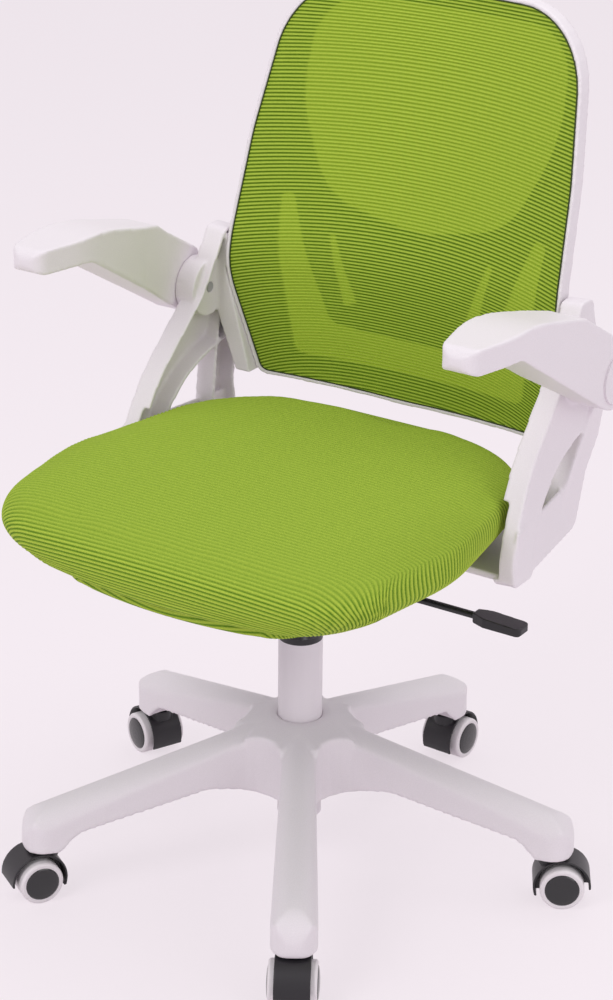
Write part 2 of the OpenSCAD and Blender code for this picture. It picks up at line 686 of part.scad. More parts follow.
rear_strut_lean = atan2(boss_face_x + strut_wall - rear_strut_x, rear_strut_top_z - foot_z);
// Side view of the rear strut
function rear_strut() = rounded([
    [rear_strut_y, foot_z, 0], [rear_strut_y + rear_strut_w, foot_z, foot_round],
    [rear_strut_y + rear_strut_w, opening_low_z + foot_round, 3 * foot_round],
    [bracket_rear_y, opening_low_z + rear_strut_w, 2 * foot_round],
    [bracket_rear_y, rear_strut_top_z, 0], [pivot_y + ear_w, rear_strut_top_z, 0],
    [rear_strut_y + rear_strut_w / 3, opening_low_z + rear_strut_w, 6 * foot_round],
    [rear_strut_y, opening_low_z, 6 * foot_round]], 7);
web_front_y = back_lumbar_y + frame_depth / 2 - 2 * bolt_r;
web_depth = 28;
web_top_z = lumbar_z + foot_round;
web_low_z = back_low_z + strut_wall;
web_out = 16;
function frame_web() = concat(
    [for (z = [web_low_z, back_wide_z, web_top_z]) [frame_side_x(z) + slip, z]],
    [[boss_face_x - bracket_t, web_top_z], [boss_face_x - bracket_t, pivot_z - barrel_r],
     [frame_side_x(web_low_z) + web_out + strut_wall, web_low_z]]);
foot_in_x = bracket_bolt_x - 2 * foot_round;
foot_front_y = bracket_bolt_y[0] - 2 * foot_round;
foot_rear_y = bracket_bolt_y[1] + 3 * foot_round;
// Plan of the foot under the seat pan
function foot_plan() = rounded([
    [foot_in_x, foot_front_y, foot_round],
    [bracket_low_x - strut_wall, bracket_front_y + foot_round, foot_round],
    [rear_strut_x - strut_wall, rear_strut_y + rear_strut_w - foot_round, foot_round],
    [rear_strut_x - bracket_t, rear_strut_y + rear_strut_w - foot_round, foot_round],
    [foot_in_x, foot_rear_y, foot_round]]);
// Plan of the wall that joins the two struts below the opening
function shield_plan() =
    let (front = [bracket_low_x, bracket_front_y + foot_round / 2],
         rear = [rear_strut_x, rear_strut_y + rear_strut_w - foot_round / 2])
    [front, rear, rear - [strut_wall, 0], front - [strut_wall, 0]];
// Half width of the cushion at a distance behind the column
function cushion_half_w(y) = let (p = seat_plan(1, 1), n = len(p)) max([for (i = [0:n - 1])
    let (a = p[i], b = p[(i + 1) % n])
    if ((a.y - y) * (b.y - y) < 0) a.x + (b.x - a.x) * (y - a.y) / (b.y - a.y)]);
// Plan of the cushion's side and the gap round it, beside the front strut
function cushion_side() =
    let (front = bracket_front_y - foot_round, rear = bracket_front_y + strut_w + foot_round)
    [[0, front], [cushion_half_w(front) + cushion_gap, front],
     [cushion_half_w(rear) + cushion_gap, rear], [0, rear]];
module lean_about(x, angle) {
    translate([x, 0, foot_z]) rotate([0, -angle, 0]) translate([-x, 0, -foot_z]) children();
}
module bracket_body() {
    difference() {
        union() {
            lean_about(bracket_low_x, bracket_lean) difference() {
                along_x(bracket_low_x - bracket_t, bracket_low_x) polygon(front_strut());
                along_x(bracket_low_x - bracket_t - cut, bracket_low_x - strut_wall)
                    polygon(drawn_in(front_strut(), strut_wall));
            }
            lean_about(rear_strut_x, -rear_strut_lean) difference() {
                along_x(rear_strut_x - bracket_t, rear_strut_x) polygon(rear_strut());
                along_x(rear_strut_x - bracket_t - cut, rear_strut_x - strut_wall)
                    polygon(drawn_in(rear_strut(), strut_wall));
            }
            along_y(web_front_y, web_front_y + web_depth) polygon(frame_web());
            rod_x(barrel_r, boss_face_x - bracket_t, boss_face_x, pivot_y, pivot_z);
            translate([0, 0, foot_z]) linear_extrude(foot_t) polygon(foot_plan());
            translate([0, 0, foot_z]) linear_extrude(opening_low_z - foot_z) polygon(shield_plan());
        }
        rod_x(pin_r, boss_face_x - 2 * bracket_t, boss_face_x + cut, pivot_y, pivot_z);
        bracket_bolt_places() disc(bolt_r, foot_z - cut, pan_z + cut);
        back_bolt_shafts(bolt_r, -rim_total_w, back_bolt_l - rim_total_w);
        translate([0, 0, pan_z]) linear_extrude(cushion_edge_t + pan_t + cushion_gap)
            polygon(cushion_side());
        intersection() {
            translate([0, back_low_y / 2, 0]) cube([boss_face_x, back_top_y, back_top_z]);
            along_y(0, 3 * back_top_y) polygon(back_outline(-slip));
        }
    }
}
module bracket_left() {
    color(plastic_white) bracket_body();
}
module bracket_right() {
    color(plastic_white) mirror([1, 0, 0]) bracket_body();
}
module bracket_bolts() {
    color(steel_grey) bracket_bolt_places() {
        disc(bolt_head_r, foot_z - bolt_head_t, foot_z);
        disc(bolt_r, foot_z - cut, seat_base_z - cut);
    }
}

// Flip-up arms

arm_x = seat_w / 2 + arm_out;
barrel_in_x = boss_face_x + slip;
barrel_tuck = 4;
barrel_out_x = arm_x + pad_w / 2 - barrel_tuck;
cap_t = 4;
cap_share = 0.78;
cap_r = barrel_r * cap_share;
pad_floor_z = pad_top_z - pad_t;
pad_drop = 45;
pad_rear_y = pivot_y - pad_drop;
pad_tip_r = pad_t / 2 - slip;
pad_bow = 2;
pad_bow_r = 260;
neck_drop = 75;
heel_r = 20;
under_front_y = -62;
module arm_pins() {
    color(steel_grey) for (side = [0, 1]) mirror([side, 0, 0])
        rod_x(pin_r, boss_face_x - bracket_t, barrel_out_x - cap_t / 2, pivot_y, pivot_z);
}
// Side view of an arm
function arm_side() = rounded([
    [-pad_front, pad_top_z, pad_tip_r], [-pad_front / 4, pad_top_z + pad_bow, pad_bow_r],
    [pivot_y - neck_drop, pad_floor_z, heel_r],
    [pivot_y + barrel_r - barrel_tuck, pivot_z + barrel_r - barrel_tuck, heel_r],
    [pivot_y, pivot_z, 0], [pivot_y - barrel_r / 2, pivot_z - barrel_r + barrel_tuck, 0],
    [under_front_y, pad_floor_z, 2 * heel_r], [-pad_front, pad_floor_z, pad_tip_r]], 8);
// Corners of an arm's plan on its outer side and on its inner one, as shares of the pad's width from its centre
// line and of its reach to the front, with radii as shares of the pad's width
outer_plan_shares = [[0.53, 0.55, 2.3], [0.29, 1, 0.28]];
inner_plan_shares = [[-0.29, 1, 0.28], [-0.53, 0.5, 2.3], [-0.42, -0.32, 0.9]];
function on_pad(c) = [arm_x + c.x * pad_w, -c.y * pad_front, c.z * pad_w];
function arm_plan() = rounded(concat(
    [for (share = outer_plan_shares) on_pad(share)], [for (share = inner_plan_shares) on_pad(share)],
    [[barrel_in_x, pad_rear_y, heel_r], [barrel_in_x, pivot_y + 2 * barrel_r, 0],
     [barrel_out_x, pivot_y + 2 * barrel_r, 0], [barrel_out_x, pad_rear_y - heel_r, 3 * heel_r]]), 6);
pad_cell_l = 26;
pad_cell_depth = 15;
pad_cell_share = 0.52;
pad_cell_w = pad_w * pad_cell_share;
pad_cells = 2;
pad_cell_wall = 4;
pad_cell_pitch = pad_cell_l + pad_cell_wall;
pad_cell_start_y = -pad_front + pad_tip_r + pad_cell_wall;
module arm_body() {
    difference() {
        union() {
            intersection() {
                along_x(arm_x - pad_w, arm_x + pad_w) polygon(arm_side());
                translate([0, 0, pivot_z - 2 * barrel_r]) linear_extrude(pad_top_z) polygon(arm_plan());
            }
            rod_x(barrel_r, barrel_in_x, barrel_out_x, pivot_y, pivot_z);
        }
        rod_x(pin_r + run, barrel_in_x - cut, barrel_out_x - 1, pivot_y, pivot_z);
        rod_x(cap_r + slip, barrel_out_x - cap_t / 2, barrel_out_x + cut, pivot_y, pivot_z);
        for (k = [0:pad_cells - 1])
            translate([arm_x - pad_cell_w / 2, pad_cell_start_y + k * pad_cell_pitch, pad_floor_z - cut])
                cube([pad_cell_w, pad_cell_l, pad_cell_depth + cut]);
    }
}
module arm_cap_body() {
    rod_x(cap_r, barrel_out_x - cap_t / 2, barrel_out_x + cap_t / 2, pivot_y, pivot_z);
}
module arm_left() {
    color(plastic_white) arm_body();
}
module arm_left_cap() {
    color(plastic_white) arm_cap_body();
}
module arm_right() {
    color(plastic_white) mirror([1, 0, 0]) arm_body();
}
module arm_right_cap() {
    color(plastic_white) mirror([1, 0, 0]) arm_cap_body();
}

// Casters. Each is drawn with its swivel axis on the Z axis, trailing along +X.

fork_t = 7;
neck_r = 14;
neck_h = 12;
neck_low_z = socket_z - slip - neck_h;
hood_gap = 5;
hood_in_r = wheel_r + hood_gap;
hood_t = 2.5;
hood_cut_z = wheel_r / 2 + hood_t;
wheel_in_y = fork_t / 2 + wheel_gap;
wheel_out_y = wheel_in_y + wheel_w;
tyre_in_y = wheel_in_y + cut;
cap_dome = 2.5;
DOME_STEPS = 4;
axle_inset = 3;
axle_half_l = wheel_out_y - axle_inset;
stem_low_z = neck_low_z + axle_inset;
module at_caster(i) {
    rotate(leg_angle(i)) translate([caster_circle_r, 0, 0]) rotate(caster_turn[i - 1]) children();
}
module caster_hood() {
    color(plastic_black) difference() {
        union() {
            difference() {
                rod_y(hood_in_r + hood_t, -hood_w / 2, hood_w / 2, caster_trail, wheel_r);
                rod_y(hood_in_r, fork_t / 2, hood_w, caster_trail, wheel_r);
                rod_y(hood_in_r, -hood_w, -fork_t / 2, caster_trail, wheel_r);
                along_y(-hood_w, hood_w) polygon([
                    [caster_trail - 3 * wheel_r, -wheel_r], [caster_trail + 3 * wheel_r, -wheel_r],
                    [caster_trail + 3 * wheel_r, wheel_r], [caster_trail + wheel_r, wheel_r - hood_t],
                    [caster_trail, wheel_r / 2], [caster_trail - 3 * wheel_r, hood_cut_z]]);
            }
            difference() {
                disc(neck_r, neck_low_z, socket_z - slip);
                rod_y(hood_in_r, fork_t / 2, hood_w, caster_trail, wheel_r);
                rod_y(hood_in_r, -hood_w, -fork_t / 2, caster_trail, wheel_r);
            }
        }
        disc(stem_r, stem_low_z, socket_z + cut);
        rod_y(axle_r, -hood_w, hood_w, caster_trail, wheel_r);
    }
}
module caster_pins() {
    color(steel_grey) union() {
        disc(stem_r, stem_low_z, socket_z + stem_depth - cut);
        rod_y(axle_r, -axle_half_l, axle_half_l, caster_trail, wheel_r);
    }
}
module caster_wheel() {
    color(plastic_black) translate([caster_trail, 0, wheel_r]) rotate([-90, 0, 0]) rotate_extrude($fn = fine)
        polygon(concat([[axle_r + run, wheel_in_y], [wheel_cap_r, wheel_in_y], [wheel_cap_r, wheel_out_y]],
            [for (k = [1:DOME_STEPS]) let (a = 90 * k / DOME_STEPS)
                [wheel_cap_r * cos(a), wheel_out_y + cap_dome * sin(a)]],
            [[0, axle_half_l + slip], [axle_r + run, axle_half_l + slip]]));
}
module caster_tyre() {
    round_r = 3;
    color(plastic_white) translate([caster_trail, 0, wheel_r]) rotate([-90, 0, 0]) rotate_extrude($fn = fine)
        polygon(rounded([[wheel_cap_r, tyre_in_y, 0], [wheel_r, tyre_in_y, round_r / 3],
                         [wheel_r, wheel_out_y + round_r / 3, round_r], [wheel_cap_r, wheel_out_y, 0]]));
}

star_base();
hub_ring();
gas_tube();
tube_bush();
tube_cap();
thrust_bearing();
piston_rod();
rod_clip();
gas_cylinder();
valve_button();
seat_plate();
plate_bolts();
lever_pin();
lever_rod();
lever_handle();
seat_pan();
seat_cushion();
bracket_left();
bracket_right();
bracket_bolts();
back_shell();
back_mesh();
back_bolts();
arm_pins();
arm_left();
arm_left_cap();
arm_right();
arm_right_cap();
for (i = CASTERS) {
    at_caster(i) caster_hood();
    at_caster(i) caster_pins();
    at_caster(i) caster_wheel();
    at_caster(i) mirror([0, 1, 0]) caster_wheel();
    at_caster(i) caster_tyre();
    at_caster(i) mirror([0, 1, 0]) caster_tyre();
}
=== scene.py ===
"""Office chair: ribbed covers, moulded skins, finishes and a studio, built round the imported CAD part."""
import math

import bpy
import numpy as np
from mathutils import Matrix, Vector
from mathutils.bvhtree import BVHTree


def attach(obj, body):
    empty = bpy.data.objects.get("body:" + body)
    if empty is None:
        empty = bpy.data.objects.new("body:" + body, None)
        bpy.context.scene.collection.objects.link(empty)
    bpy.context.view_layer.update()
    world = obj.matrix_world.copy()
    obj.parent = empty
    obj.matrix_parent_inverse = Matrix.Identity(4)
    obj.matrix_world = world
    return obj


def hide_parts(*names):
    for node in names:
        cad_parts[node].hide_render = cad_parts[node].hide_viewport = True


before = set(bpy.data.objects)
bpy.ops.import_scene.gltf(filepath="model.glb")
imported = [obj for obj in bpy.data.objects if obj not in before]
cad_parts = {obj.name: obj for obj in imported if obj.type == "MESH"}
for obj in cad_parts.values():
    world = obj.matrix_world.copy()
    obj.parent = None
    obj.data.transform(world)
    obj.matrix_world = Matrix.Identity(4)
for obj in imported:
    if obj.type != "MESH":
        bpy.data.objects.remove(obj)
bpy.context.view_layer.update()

bl_info = {
    "name": "Office chair",
    "version": (1, 0, 0),
    "blender": (4, 5, 0),
    "location": "3D View > Sidebar > Chair",
    "description": "Dresses the CAD frame of an office chair with covers, moulded skins, finishes and a studio",
    "category": "Add Mesh",
}

CASTERS = (1, 2, 3, 4, 5)
SIDES = ("left", "right")


# Numbers of the CAD frame that the covers follow, in metres

SEAT_W = 0.517
SEAT_FRONT = 0.285
SEAT_REAR = 0.205
SEAT_BASE_Z = 0.419
SEAT_BOW_SHARE = 1.078
CUSHION_EDGE_T = 0.066
CUSHION_CROWN = 0.010
CUSHION_SIDE_TUCK = 0.090
CUSHION_END_TUCK = 0.031
CUSHION_SIDE_R = 0.012
CUSHION_END_R = 0.037
CUSHION_MID_SHARE = 0.61
SEAT_CORNER_SHARES = ((0.905, -0.93, 0.32), (1.01, -0.23, 0.8), (0.8, 1.0, 0.67))
PAN_T = 0.010

BACK_TOP_Z = 0.961
BACK_LOW_Z = 0.495
BACK_WIDE_Z = 0.620
BACK_LOW_W = 0.370
BACK_WIDE_W = 0.439
BACK_TOP_W = 0.372
BACK_SHOULDER_SHARE = 0.48
BACK_SHOULDER_W_SHARE = 0.284
BACK_CORNER_R = 0.097
BACK_SHOULDER_R = 0.300
BACK_WIDE_R = 0.150
BACK_LOW_R = 0.016
BACK_DIP = 0.006
LUMBAR_Z = 0.652
BACK_CURVE_R = 0.850
BACK_LOW_Y = 0.180
BACK_LUMBAR_Y = 0.168
BACK_TOP_Y = 0.253
BACK_SIDE_X = 0.210
BACK_BEND_R = 0.160
BACK_OVER = 0.020
BACK_LEAST_R = 0.002
RIM_W = 0.004


class ChairSizes(bpy.types.PropertyGroup):
    """Sizes of the covers and the moulded skins."""

    rib_pitch: bpy.props.FloatProperty(
        name="Seat rib pitch", description="Distance from one raised rib of the seat's knit to the next",
        default=0.0056, min=0.003, max=0.012, unit="LENGTH")
    back_rib_pitch: bpy.props.FloatProperty(
        name="Back rib pitch", description="Distance from one raised rib of the back's mesh to the next",
        default=0.0042, min=0.003, max=0.012, unit="LENGTH")
    seat_rib_height: bpy.props.FloatProperty(
        name="Seat rib height", description="How far a rib stands up on the seat cushion",
        default=0.0013, min=0.0, max=0.003, unit="LENGTH")
    back_rib_height: bpy.props.FloatProperty(
        name="Back rib height", description="How far a rib stands up on the back's mesh",
        default=0.0011, min=0.0, max=0.002, unit="LENGTH")
    rib_arch: bpy.props.FloatProperty(
        name="Rib arch", description="How far the back's ribs arch up in the middle at the lumbar bend",
        default=0.020, min=0.0, max=0.04, unit="LENGTH")
    swell: bpy.props.FloatProperty(
        name="Cushion swell", description="Most that the simulated pad may swell",
        default=0.004, min=0.0, max=0.01, unit="LENGTH")
    mould_voxel: bpy.props.FloatProperty(
        name="Mould detail", description="Cell size with which the moulded parts' edges are rounded",
        default=0.0018, min=0.001, max=0.004, unit="LENGTH")


class ChairColours(bpy.types.PropertyGroup):
    """Colours of the chair and of the studio."""

    shell: bpy.props.FloatVectorProperty(
        name="White plastic", description="Moulded plastic of the base, back frame and arms",
        default=(0.80, 0.745, 0.785), min=0.0, max=1.0, size=3, subtype="COLOR")
    rib_light: bpy.props.FloatVectorProperty(
        name="Rib", description="Raised ribs of the knit",
        default=(0.43, 0.55, 0.06), min=0.0, max=1.0, size=3, subtype="COLOR")
    # The gap's colour is the knit's green darkened with painted shade of the grooves between the ribs
    rib_gap_shade: bpy.props.FloatVectorProperty(
        name="Gap", description="Open knit between the ribs",
        default=(0.06, 0.175, 0.001), min=0.0, max=1.0, size=3, subtype="COLOR")
    rib_through: bpy.props.FloatVectorProperty(
        name="Light through", description="Tint of what shows through the back's knit",
        default=(0.44, 0.62, 0.04), min=0.0, max=1.0, size=3, subtype="COLOR")
    dark: bpy.props.FloatVectorProperty(
        name="Black plastic", description="Hoods, wheel caps and lever handle",
        default=(0.012, 0.011, 0.014), min=0.0, max=1.0, size=3, subtype="COLOR")
    backdrop: bpy.props.FloatVectorProperty(
        name="Backdrop", description="Studio background",
        default=(0.93, 0.855, 0.905), min=0.0, max=1.0, size=3, subtype="COLOR")


# Meshes

def link(name, mesh):
    obj = bpy.data.objects.new(name, mesh)
    bpy.context.scene.collection.objects.link(obj)
    return obj


def grid_mesh(name, points, uv):
    """A smooth sheet from an array of rows of points, with its place on the flat cloth."""
    rows, cols = points.shape[:2]
    index = np.arange(rows * cols).reshape(rows, cols)
    faces = np.stack([index[:-1, :-1], index[:-1, 1:], index[1:, 1:], index[1:, :-1]], -1).reshape(-1, 4)
    mesh = bpy.data.meshes.new(name)
    mesh.from_pydata(points.reshape(-1, 3).tolist(), [], faces.tolist())
    mesh.shade_smooth()
    layer = mesh.uv_layers.new(name="OFBake")
    corner = np.empty(len(mesh.loops), np.int32)
    mesh.loops.foreach_get("vertex_index", corner)
    layer.uv.foreach_set("vector", uv.reshape(-1, 2)[corner].astype(np.float32).ravel())
    return mesh


def mark_ribs(mesh, values):
    """Writes how far each point lies from a gap to a rib's crest, for the knit's colour."""
    layer = mesh.attributes.new("rib", "FLOAT", "POINT")
    layer.data.foreach_set("value", np.asarray(values, np.float32).ravel())


def coords(mesh):
    flat = np.empty(len(mesh.vertices) * 3, np.float64)
    mesh.vertices.foreach_get("co", flat)
    return flat.reshape(-1, 3)


def put_coords(mesh, points):
    mesh.vertices.foreach_set("co", np.asarray(points, np.float64).ravel())
    mesh.update()


def cad_copy(name, node):
    """A new object with a CAD node's surface."""
    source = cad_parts[node].data
    mesh = bpy.data.meshes.new(name)
    mesh.from_pydata(coords(source).tolist(), [], [list(p.vertices) for p in source.polygons])
    return link(name, mesh)


def voxel_skin(obj, cell):
    """Turns an object into one closed skin of small even faces."""
    skin = obj.modifiers.new("Skin", "REMESH")
    skin.mode = "VOXEL"
    skin.voxel_size = cell
    apply_all(obj)


def apply_all(obj):
    deps = bpy.context.evaluated_depsgraph_get()
    mesh = bpy.data.meshes.new_from_object(obj.evaluated_get(deps))
    obj.modifiers.clear()
    old = obj.data
    obj.data = mesh
    bpy.data.meshes.remove(old)


def relax(mesh, passes, pull=0.5, push=-0.52):
    """Rounds edges and fills creases without shrinking the form."""
    points = coords(mesh)
    ends = np.empty(len(mesh.edges) * 2, np.int64)
    mesh.edges.foreach_get("vertices", ends)
    a, b = ends.reshape(-1, 2).T
    n = len(points)
    degree = np.maximum(np.bincount(a, minlength=n) + np.bincount(b, minlength=n), 1)[:, None]
    for _ in range(passes):
        for step in (pull, push):
            total = np.stack([np.bincount(a, points[b, k], n) + np.bincount(b, points[a, k], n)
                              for k in range(3)], -1)
            points = points + step * (total / degree - points)
    put_coords(mesh, points)


def moulded(node, cell, passes, keep, name=None):
    """A moulded skin over a CAD node: the same form with its edges rounded and its creases filled.

    keep is the share of the skin's faces that stays. Without a name the skin is called after the node.
    """
    obj = cad_copy(name or f"{node}_skin", node)
    voxel_skin(obj, cell)
    relax(obj.data, passes)
    if keep < 1.0:
        thin = obj.modifiers.new("Thin", "DECIMATE")
        thin.ratio = keep
        apply_all(obj)
    obj.data.shade_smooth()
    return obj


def finish_piece(obj, body, slot_name, material, *nodes):
    """Gives a piece its material and its body, and hides the CAD nodes it stands in for."""
    obj.data.materials.clear()
    obj.data.materials.append(material)
    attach(obj, body)
    if nodes:
        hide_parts(*nodes)


def repaint(material, *nodes):
    """Gives CAD nodes that show as they are a material."""
    for node in nodes:
        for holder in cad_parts[node].material_slots:
            holder.material = material


# Outlines

def rounded(corners, steps):
    """A closed outline from corners given as x, y and radius."""
    out = []
    n = len(corners)
    for i in range(n):
        c = np.array(corners[i][:2])
        r = corners[i][2]
        if r == 0:
            out.append(c)
            continue
        u = np.array(corners[i - 1][:2]) - c
        v = np.array(corners[(i + 1) % n][:2]) - c
        u, v = u / np.linalg.norm(u), v / np.linalg.norm(v)
        half = math.acos(float(u @ v)) / 2
        bisector = (u + v) / np.linalg.norm(u + v)
        m = c + bisector * r / math.sin(half)
        s = c + u * r / math.tan(half) - m
        e = c + v * r / math.tan(half) - m
        a0, a1 = math.atan2(s[1], s[0]), math.atan2(e[1], e[0])
        turn = (a1 - a0 + math.pi) % (2 * math.pi) - math.pi
        out += [m + r * np.array([math.cos(a0 + turn * k / steps), math.sin(a0 + turn * k / steps)])
                for k in range(steps + 1)]
    return np.array(out)


def mirrored(corners):
    """The corners of a symmetric outline's right half, and then those of its left half."""
    return list(corners) + [(-x, y, r) for x, y, r in reversed(corners)]


def even(points, count):
    """The closed outline again, with points at equal steps."""
    closed = np.vstack([points, points[:1]])
    steps = np.linalg.norm(np.diff(closed, axis=0), axis=1)
    along = np.concatenate([[0], np.cumsum(steps)])
    at = np.linspace(0, along[-1], count, endpoint=False)
    return np.stack([np.interp(at, along, closed[:, k]) for k in range(points.shape[1])], -1)


def outward(points):
    """Outward normals of an outline that runs counterclockwise."""
    t = np.roll(points, -1, 0) - np.roll(points, 1, 0)
    n = np.stack([t[:, 1], -t[:, 0]], -1)
    return n / np.linalg.norm(n, axis=1)[:, None]


def span_at(outline, level):
    """Lowest and highest x at which an outline crosses a level of y."""
    a, b = outline, np.roll(outline, -1, 0)
    hit = (a[:, 1] - level) * (b[:, 1] - level) < 0
    a, b = a[hit], b[hit]
    x = a[:, 0] + (b[:, 0] - a[:, 0]) * (level - a[:, 1]) / (b[:, 1] - a[:, 1])
    return x.min(), x.max()


# Knit

STEPS_PER_RIB = 7
RIB_SHARPNESS = 1.2


def rib_wave(along, pitch):
    """0 in the gap between two ribs and 1 on a rib's crest."""
    return np.abs(np.cos(math.pi * along / pitch)) ** RIB_SHARPNESS


def level_rows(outline, pitch, columns, margin):
    """Rows of points at even levels across an outline, close enough to draw each rib."""
    low, high = outline[:, 1].min() + margin, outline[:, 1].max() - margin
    levels = np.linspace(low, high, int((high - low) / (pitch / STEPS_PER_RIB)))
    across = np.linspace(-1, 1, columns)
    rows = []
    for level in levels:
        a, b = span_at(outline, level)
        rows.append(np.stack([(a + b) / 2 + (b - a) / 2 * across, np.full(columns, level)], -1))
    return np.array(rows)


def blurred(values, passes):
    """Values of a grid, evened out along its columns and its rows."""
    for _ in range(passes):
        values[1:-1] = (values[:-2] + values[1:-1] * 2 + values[2:]) / 4
        values[:, 1:-1] = (values[:, :-2] + values[:, 1:-1] * 2 + values[:, 2:]) / 4
    return values


# Shader groups and materials

def wire(tree, source, target):
    tree.links.new(source, target)


def new_group(name, inputs, outputs):
    """A shader group with its sockets, its input node and its output node."""
    tree = bpy.data.node_groups.new(name, "ShaderNodeTree")
    for label, kind, value in inputs:
        tree.interface.new_socket(label, in_out="INPUT", socket_type=kind).default_value = value
    for label, kind in outputs:
        tree.interface.new_socket(label, in_out="OUTPUT", socket_type=kind)
    return tree, tree.nodes.new("NodeGroupInput"), tree.nodes.new("NodeGroupOutput")


def grain_group():
    """Fine spark-eroded grain of moulded plastic: a tint of the colour, and a height."""
    if "Moulded grain" in bpy.data.node_groups:
        return bpy.data.node_groups["Moulded grain"]
    tree, given, out = new_group(
        "Moulded grain",
        [("Colour", "NodeSocketColor", (0.8, 0.8, 0.8, 1)), ("Scale", "NodeSocketFloat", 900.0),
         ("Speckle", "NodeSocketFloat", 0.06)],
        [("Colour", "NodeSocketColor"), ("Height", "NodeSocketFloat")])
    place = tree.nodes.new("ShaderNodeTexCoord")
    noise = tree.nodes.new("ShaderNodeTexNoise")
    noise.inputs["Detail"].default_value = 3.0
    wire(tree, place.outputs["Object"], noise.inputs["Vector"])
    wire(tree, given.outputs["Scale"], noise.inputs["Scale"])
    spread = tree.nodes.new("ShaderNodeMath")
    spread.operation = "MULTIPLY_ADD"
    spread.inputs[1].default_value = 2.0
    spread.inputs[2].default_value = -1.0
    wire(tree, noise.outputs["Fac"], spread.inputs[0])
    amount = tree.nodes.new("ShaderNodeMath")
    amount.operation = "MULTIPLY_ADD"
    amount.inputs[2].default_value = 1.0
    wire(tree, spread.outputs[0], amount.inputs[0])
    wire(tree, given.outputs["Speckle"], amount.inputs[1])
    shade = tree.nodes.new("ShaderNodeVectorMath")
    shade.operation = "SCALE"
    wire(tree, given.outputs["Colour"], shade.inputs[0])
    wire(tree, amount.outputs[0], shade.inputs["Scale"])
    wire(tree, shade.outputs[0], out.inputs["Colour"])
    wire(tree, noise.outputs["Fac"], out.inputs["Height"])
    return tree


def knit_group():
    """Ribbed knit: the rib attribute mixes the rib colour with the gap colour, which carries painted shade of
    the grooves, and a fine stitch varies it.
    """
    if "Ribbed knit" in bpy.data.node_groups:
        return bpy.data.node_groups["Ribbed knit"]
    tree, given, out = new_group(
        "Ribbed knit",
        [("Rib", "NodeSocketColor", (0.4, 0.5, 0.1, 1)), ("Gap", "NodeSocketColor", (0.1, 0.2, 0.0, 1)),
         ("Stitch scale", "NodeSocketFloat", 700.0)],
        [("Colour", "NodeSocketColor"), ("Height", "NodeSocketFloat")])
    rib = tree.nodes.new("ShaderNodeAttribute")
    rib.attribute_name = "rib"
    place = tree.nodes.new("ShaderNodeTexCoord")
    stitch = tree.nodes.new("ShaderNodeTexNoise")
    stitch.inputs["Detail"].default_value = 2.0
    wire(tree, place.outputs["Object"], stitch.inputs["Vector"])
    wire(tree, given.outputs["Stitch scale"], stitch.inputs["Scale"])
    uneven = tree.nodes.new("ShaderNodeMath")
    uneven.operation = "MULTIPLY_ADD"
    uneven.inputs[1].default_value = 0.5
    uneven.inputs[2].default_value = -0.25
    wire(tree, stitch.outputs["Fac"], uneven.inputs[0])
    level = tree.nodes.new("ShaderNodeMath")
    level.operation = "ADD"
    level.use_clamp = True
    wire(tree, rib.outputs["Fac"], level.inputs[0])
    wire(tree, uneven.outputs[0], level.inputs[1])
    mix = tree.nodes.new("ShaderNodeMix")
    mix.data_type = "RGBA"
    wire(tree, level.outputs[0], mix.inputs["Factor"])
    wire(tree, given.outputs["Gap"], mix.inputs[6])
    wire(tree, given.outputs["Rib"], mix.inputs[7])
    wire(tree, mix.outputs[2], out.inputs["Colour"])
    wire(tree, stitch.outputs["Fac"], out.inputs["Height"])
    return tree


def bare_material(name):
    """A new material, its tree and its shader."""
    material = bpy.data.materials.new(name)
    material.use_nodes = True
    shader = material.node_tree.nodes["Principled BSDF"]
    return material, material.node_tree, shader


def plain_material(name, colour, roughness, metallic=0.0, coat=0.0):
    """A material of one even colour."""
    if name in bpy.data.materials:
        return bpy.data.materials[name]
    material, _, shader = bare_material(name)
    shader.inputs["Base Color"].default_value = (*colour, 1.0)
    shader.inputs["Roughness"].default_value = roughness
    shader.inputs["Metallic"].default_value = metallic
    shader.inputs["Coat Weight"].default_value = coat
    return material


def mix_shaders(tree, share, first, second, end):
    """Wires a mix of two shaders to the tree's output node. share is the second one's share."""
    mix = tree.nodes.new("ShaderNodeMixShader")
    wire(tree, share, mix.inputs[0])
    wire(tree, first.outputs[0], mix.inputs[1])
    wire(tree, second.outputs[0], mix.inputs[2])
    wire(tree, mix.outputs[0], tree.nodes[end].inputs["Surface"])


def bump_on(tree, shader, height, strength, distance):
    bump = tree.nodes.new("ShaderNodeBump")
    bump.inputs["Strength"].default_value = strength
    bump.inputs["Distance"].default_value = distance
    wire(tree, height, bump.inputs["Height"])
    wire(tree, bump.outputs["Normal"], shader.inputs["Normal"])


def grained_material(name, colour, roughness, scale, speckle, depth):
    """Moulded plastic or powder coat with a fine grain."""
    if name in bpy.data.materials:
        return bpy.data.materials[name]
    material, tree, shader = bare_material(name)
    grain = tree.nodes.new("ShaderNodeGroup")
    grain.node_tree = grain_group()
    grain.inputs["Colour"].default_value = (*colour, 1.0)
    grain.inputs["Scale"].default_value = scale
    grain.inputs["Speckle"].default_value = speckle
    wire(tree, grain.outputs["Colour"], shader.inputs["Base Color"])
    bump_on(tree, shader, grain.outputs["Height"], 0.25, depth)
    shader.inputs["Roughness"].default_value = roughness
    return material


# How far up a rib's side the knit still lets something show through
OPEN_UP_TO = 0.9


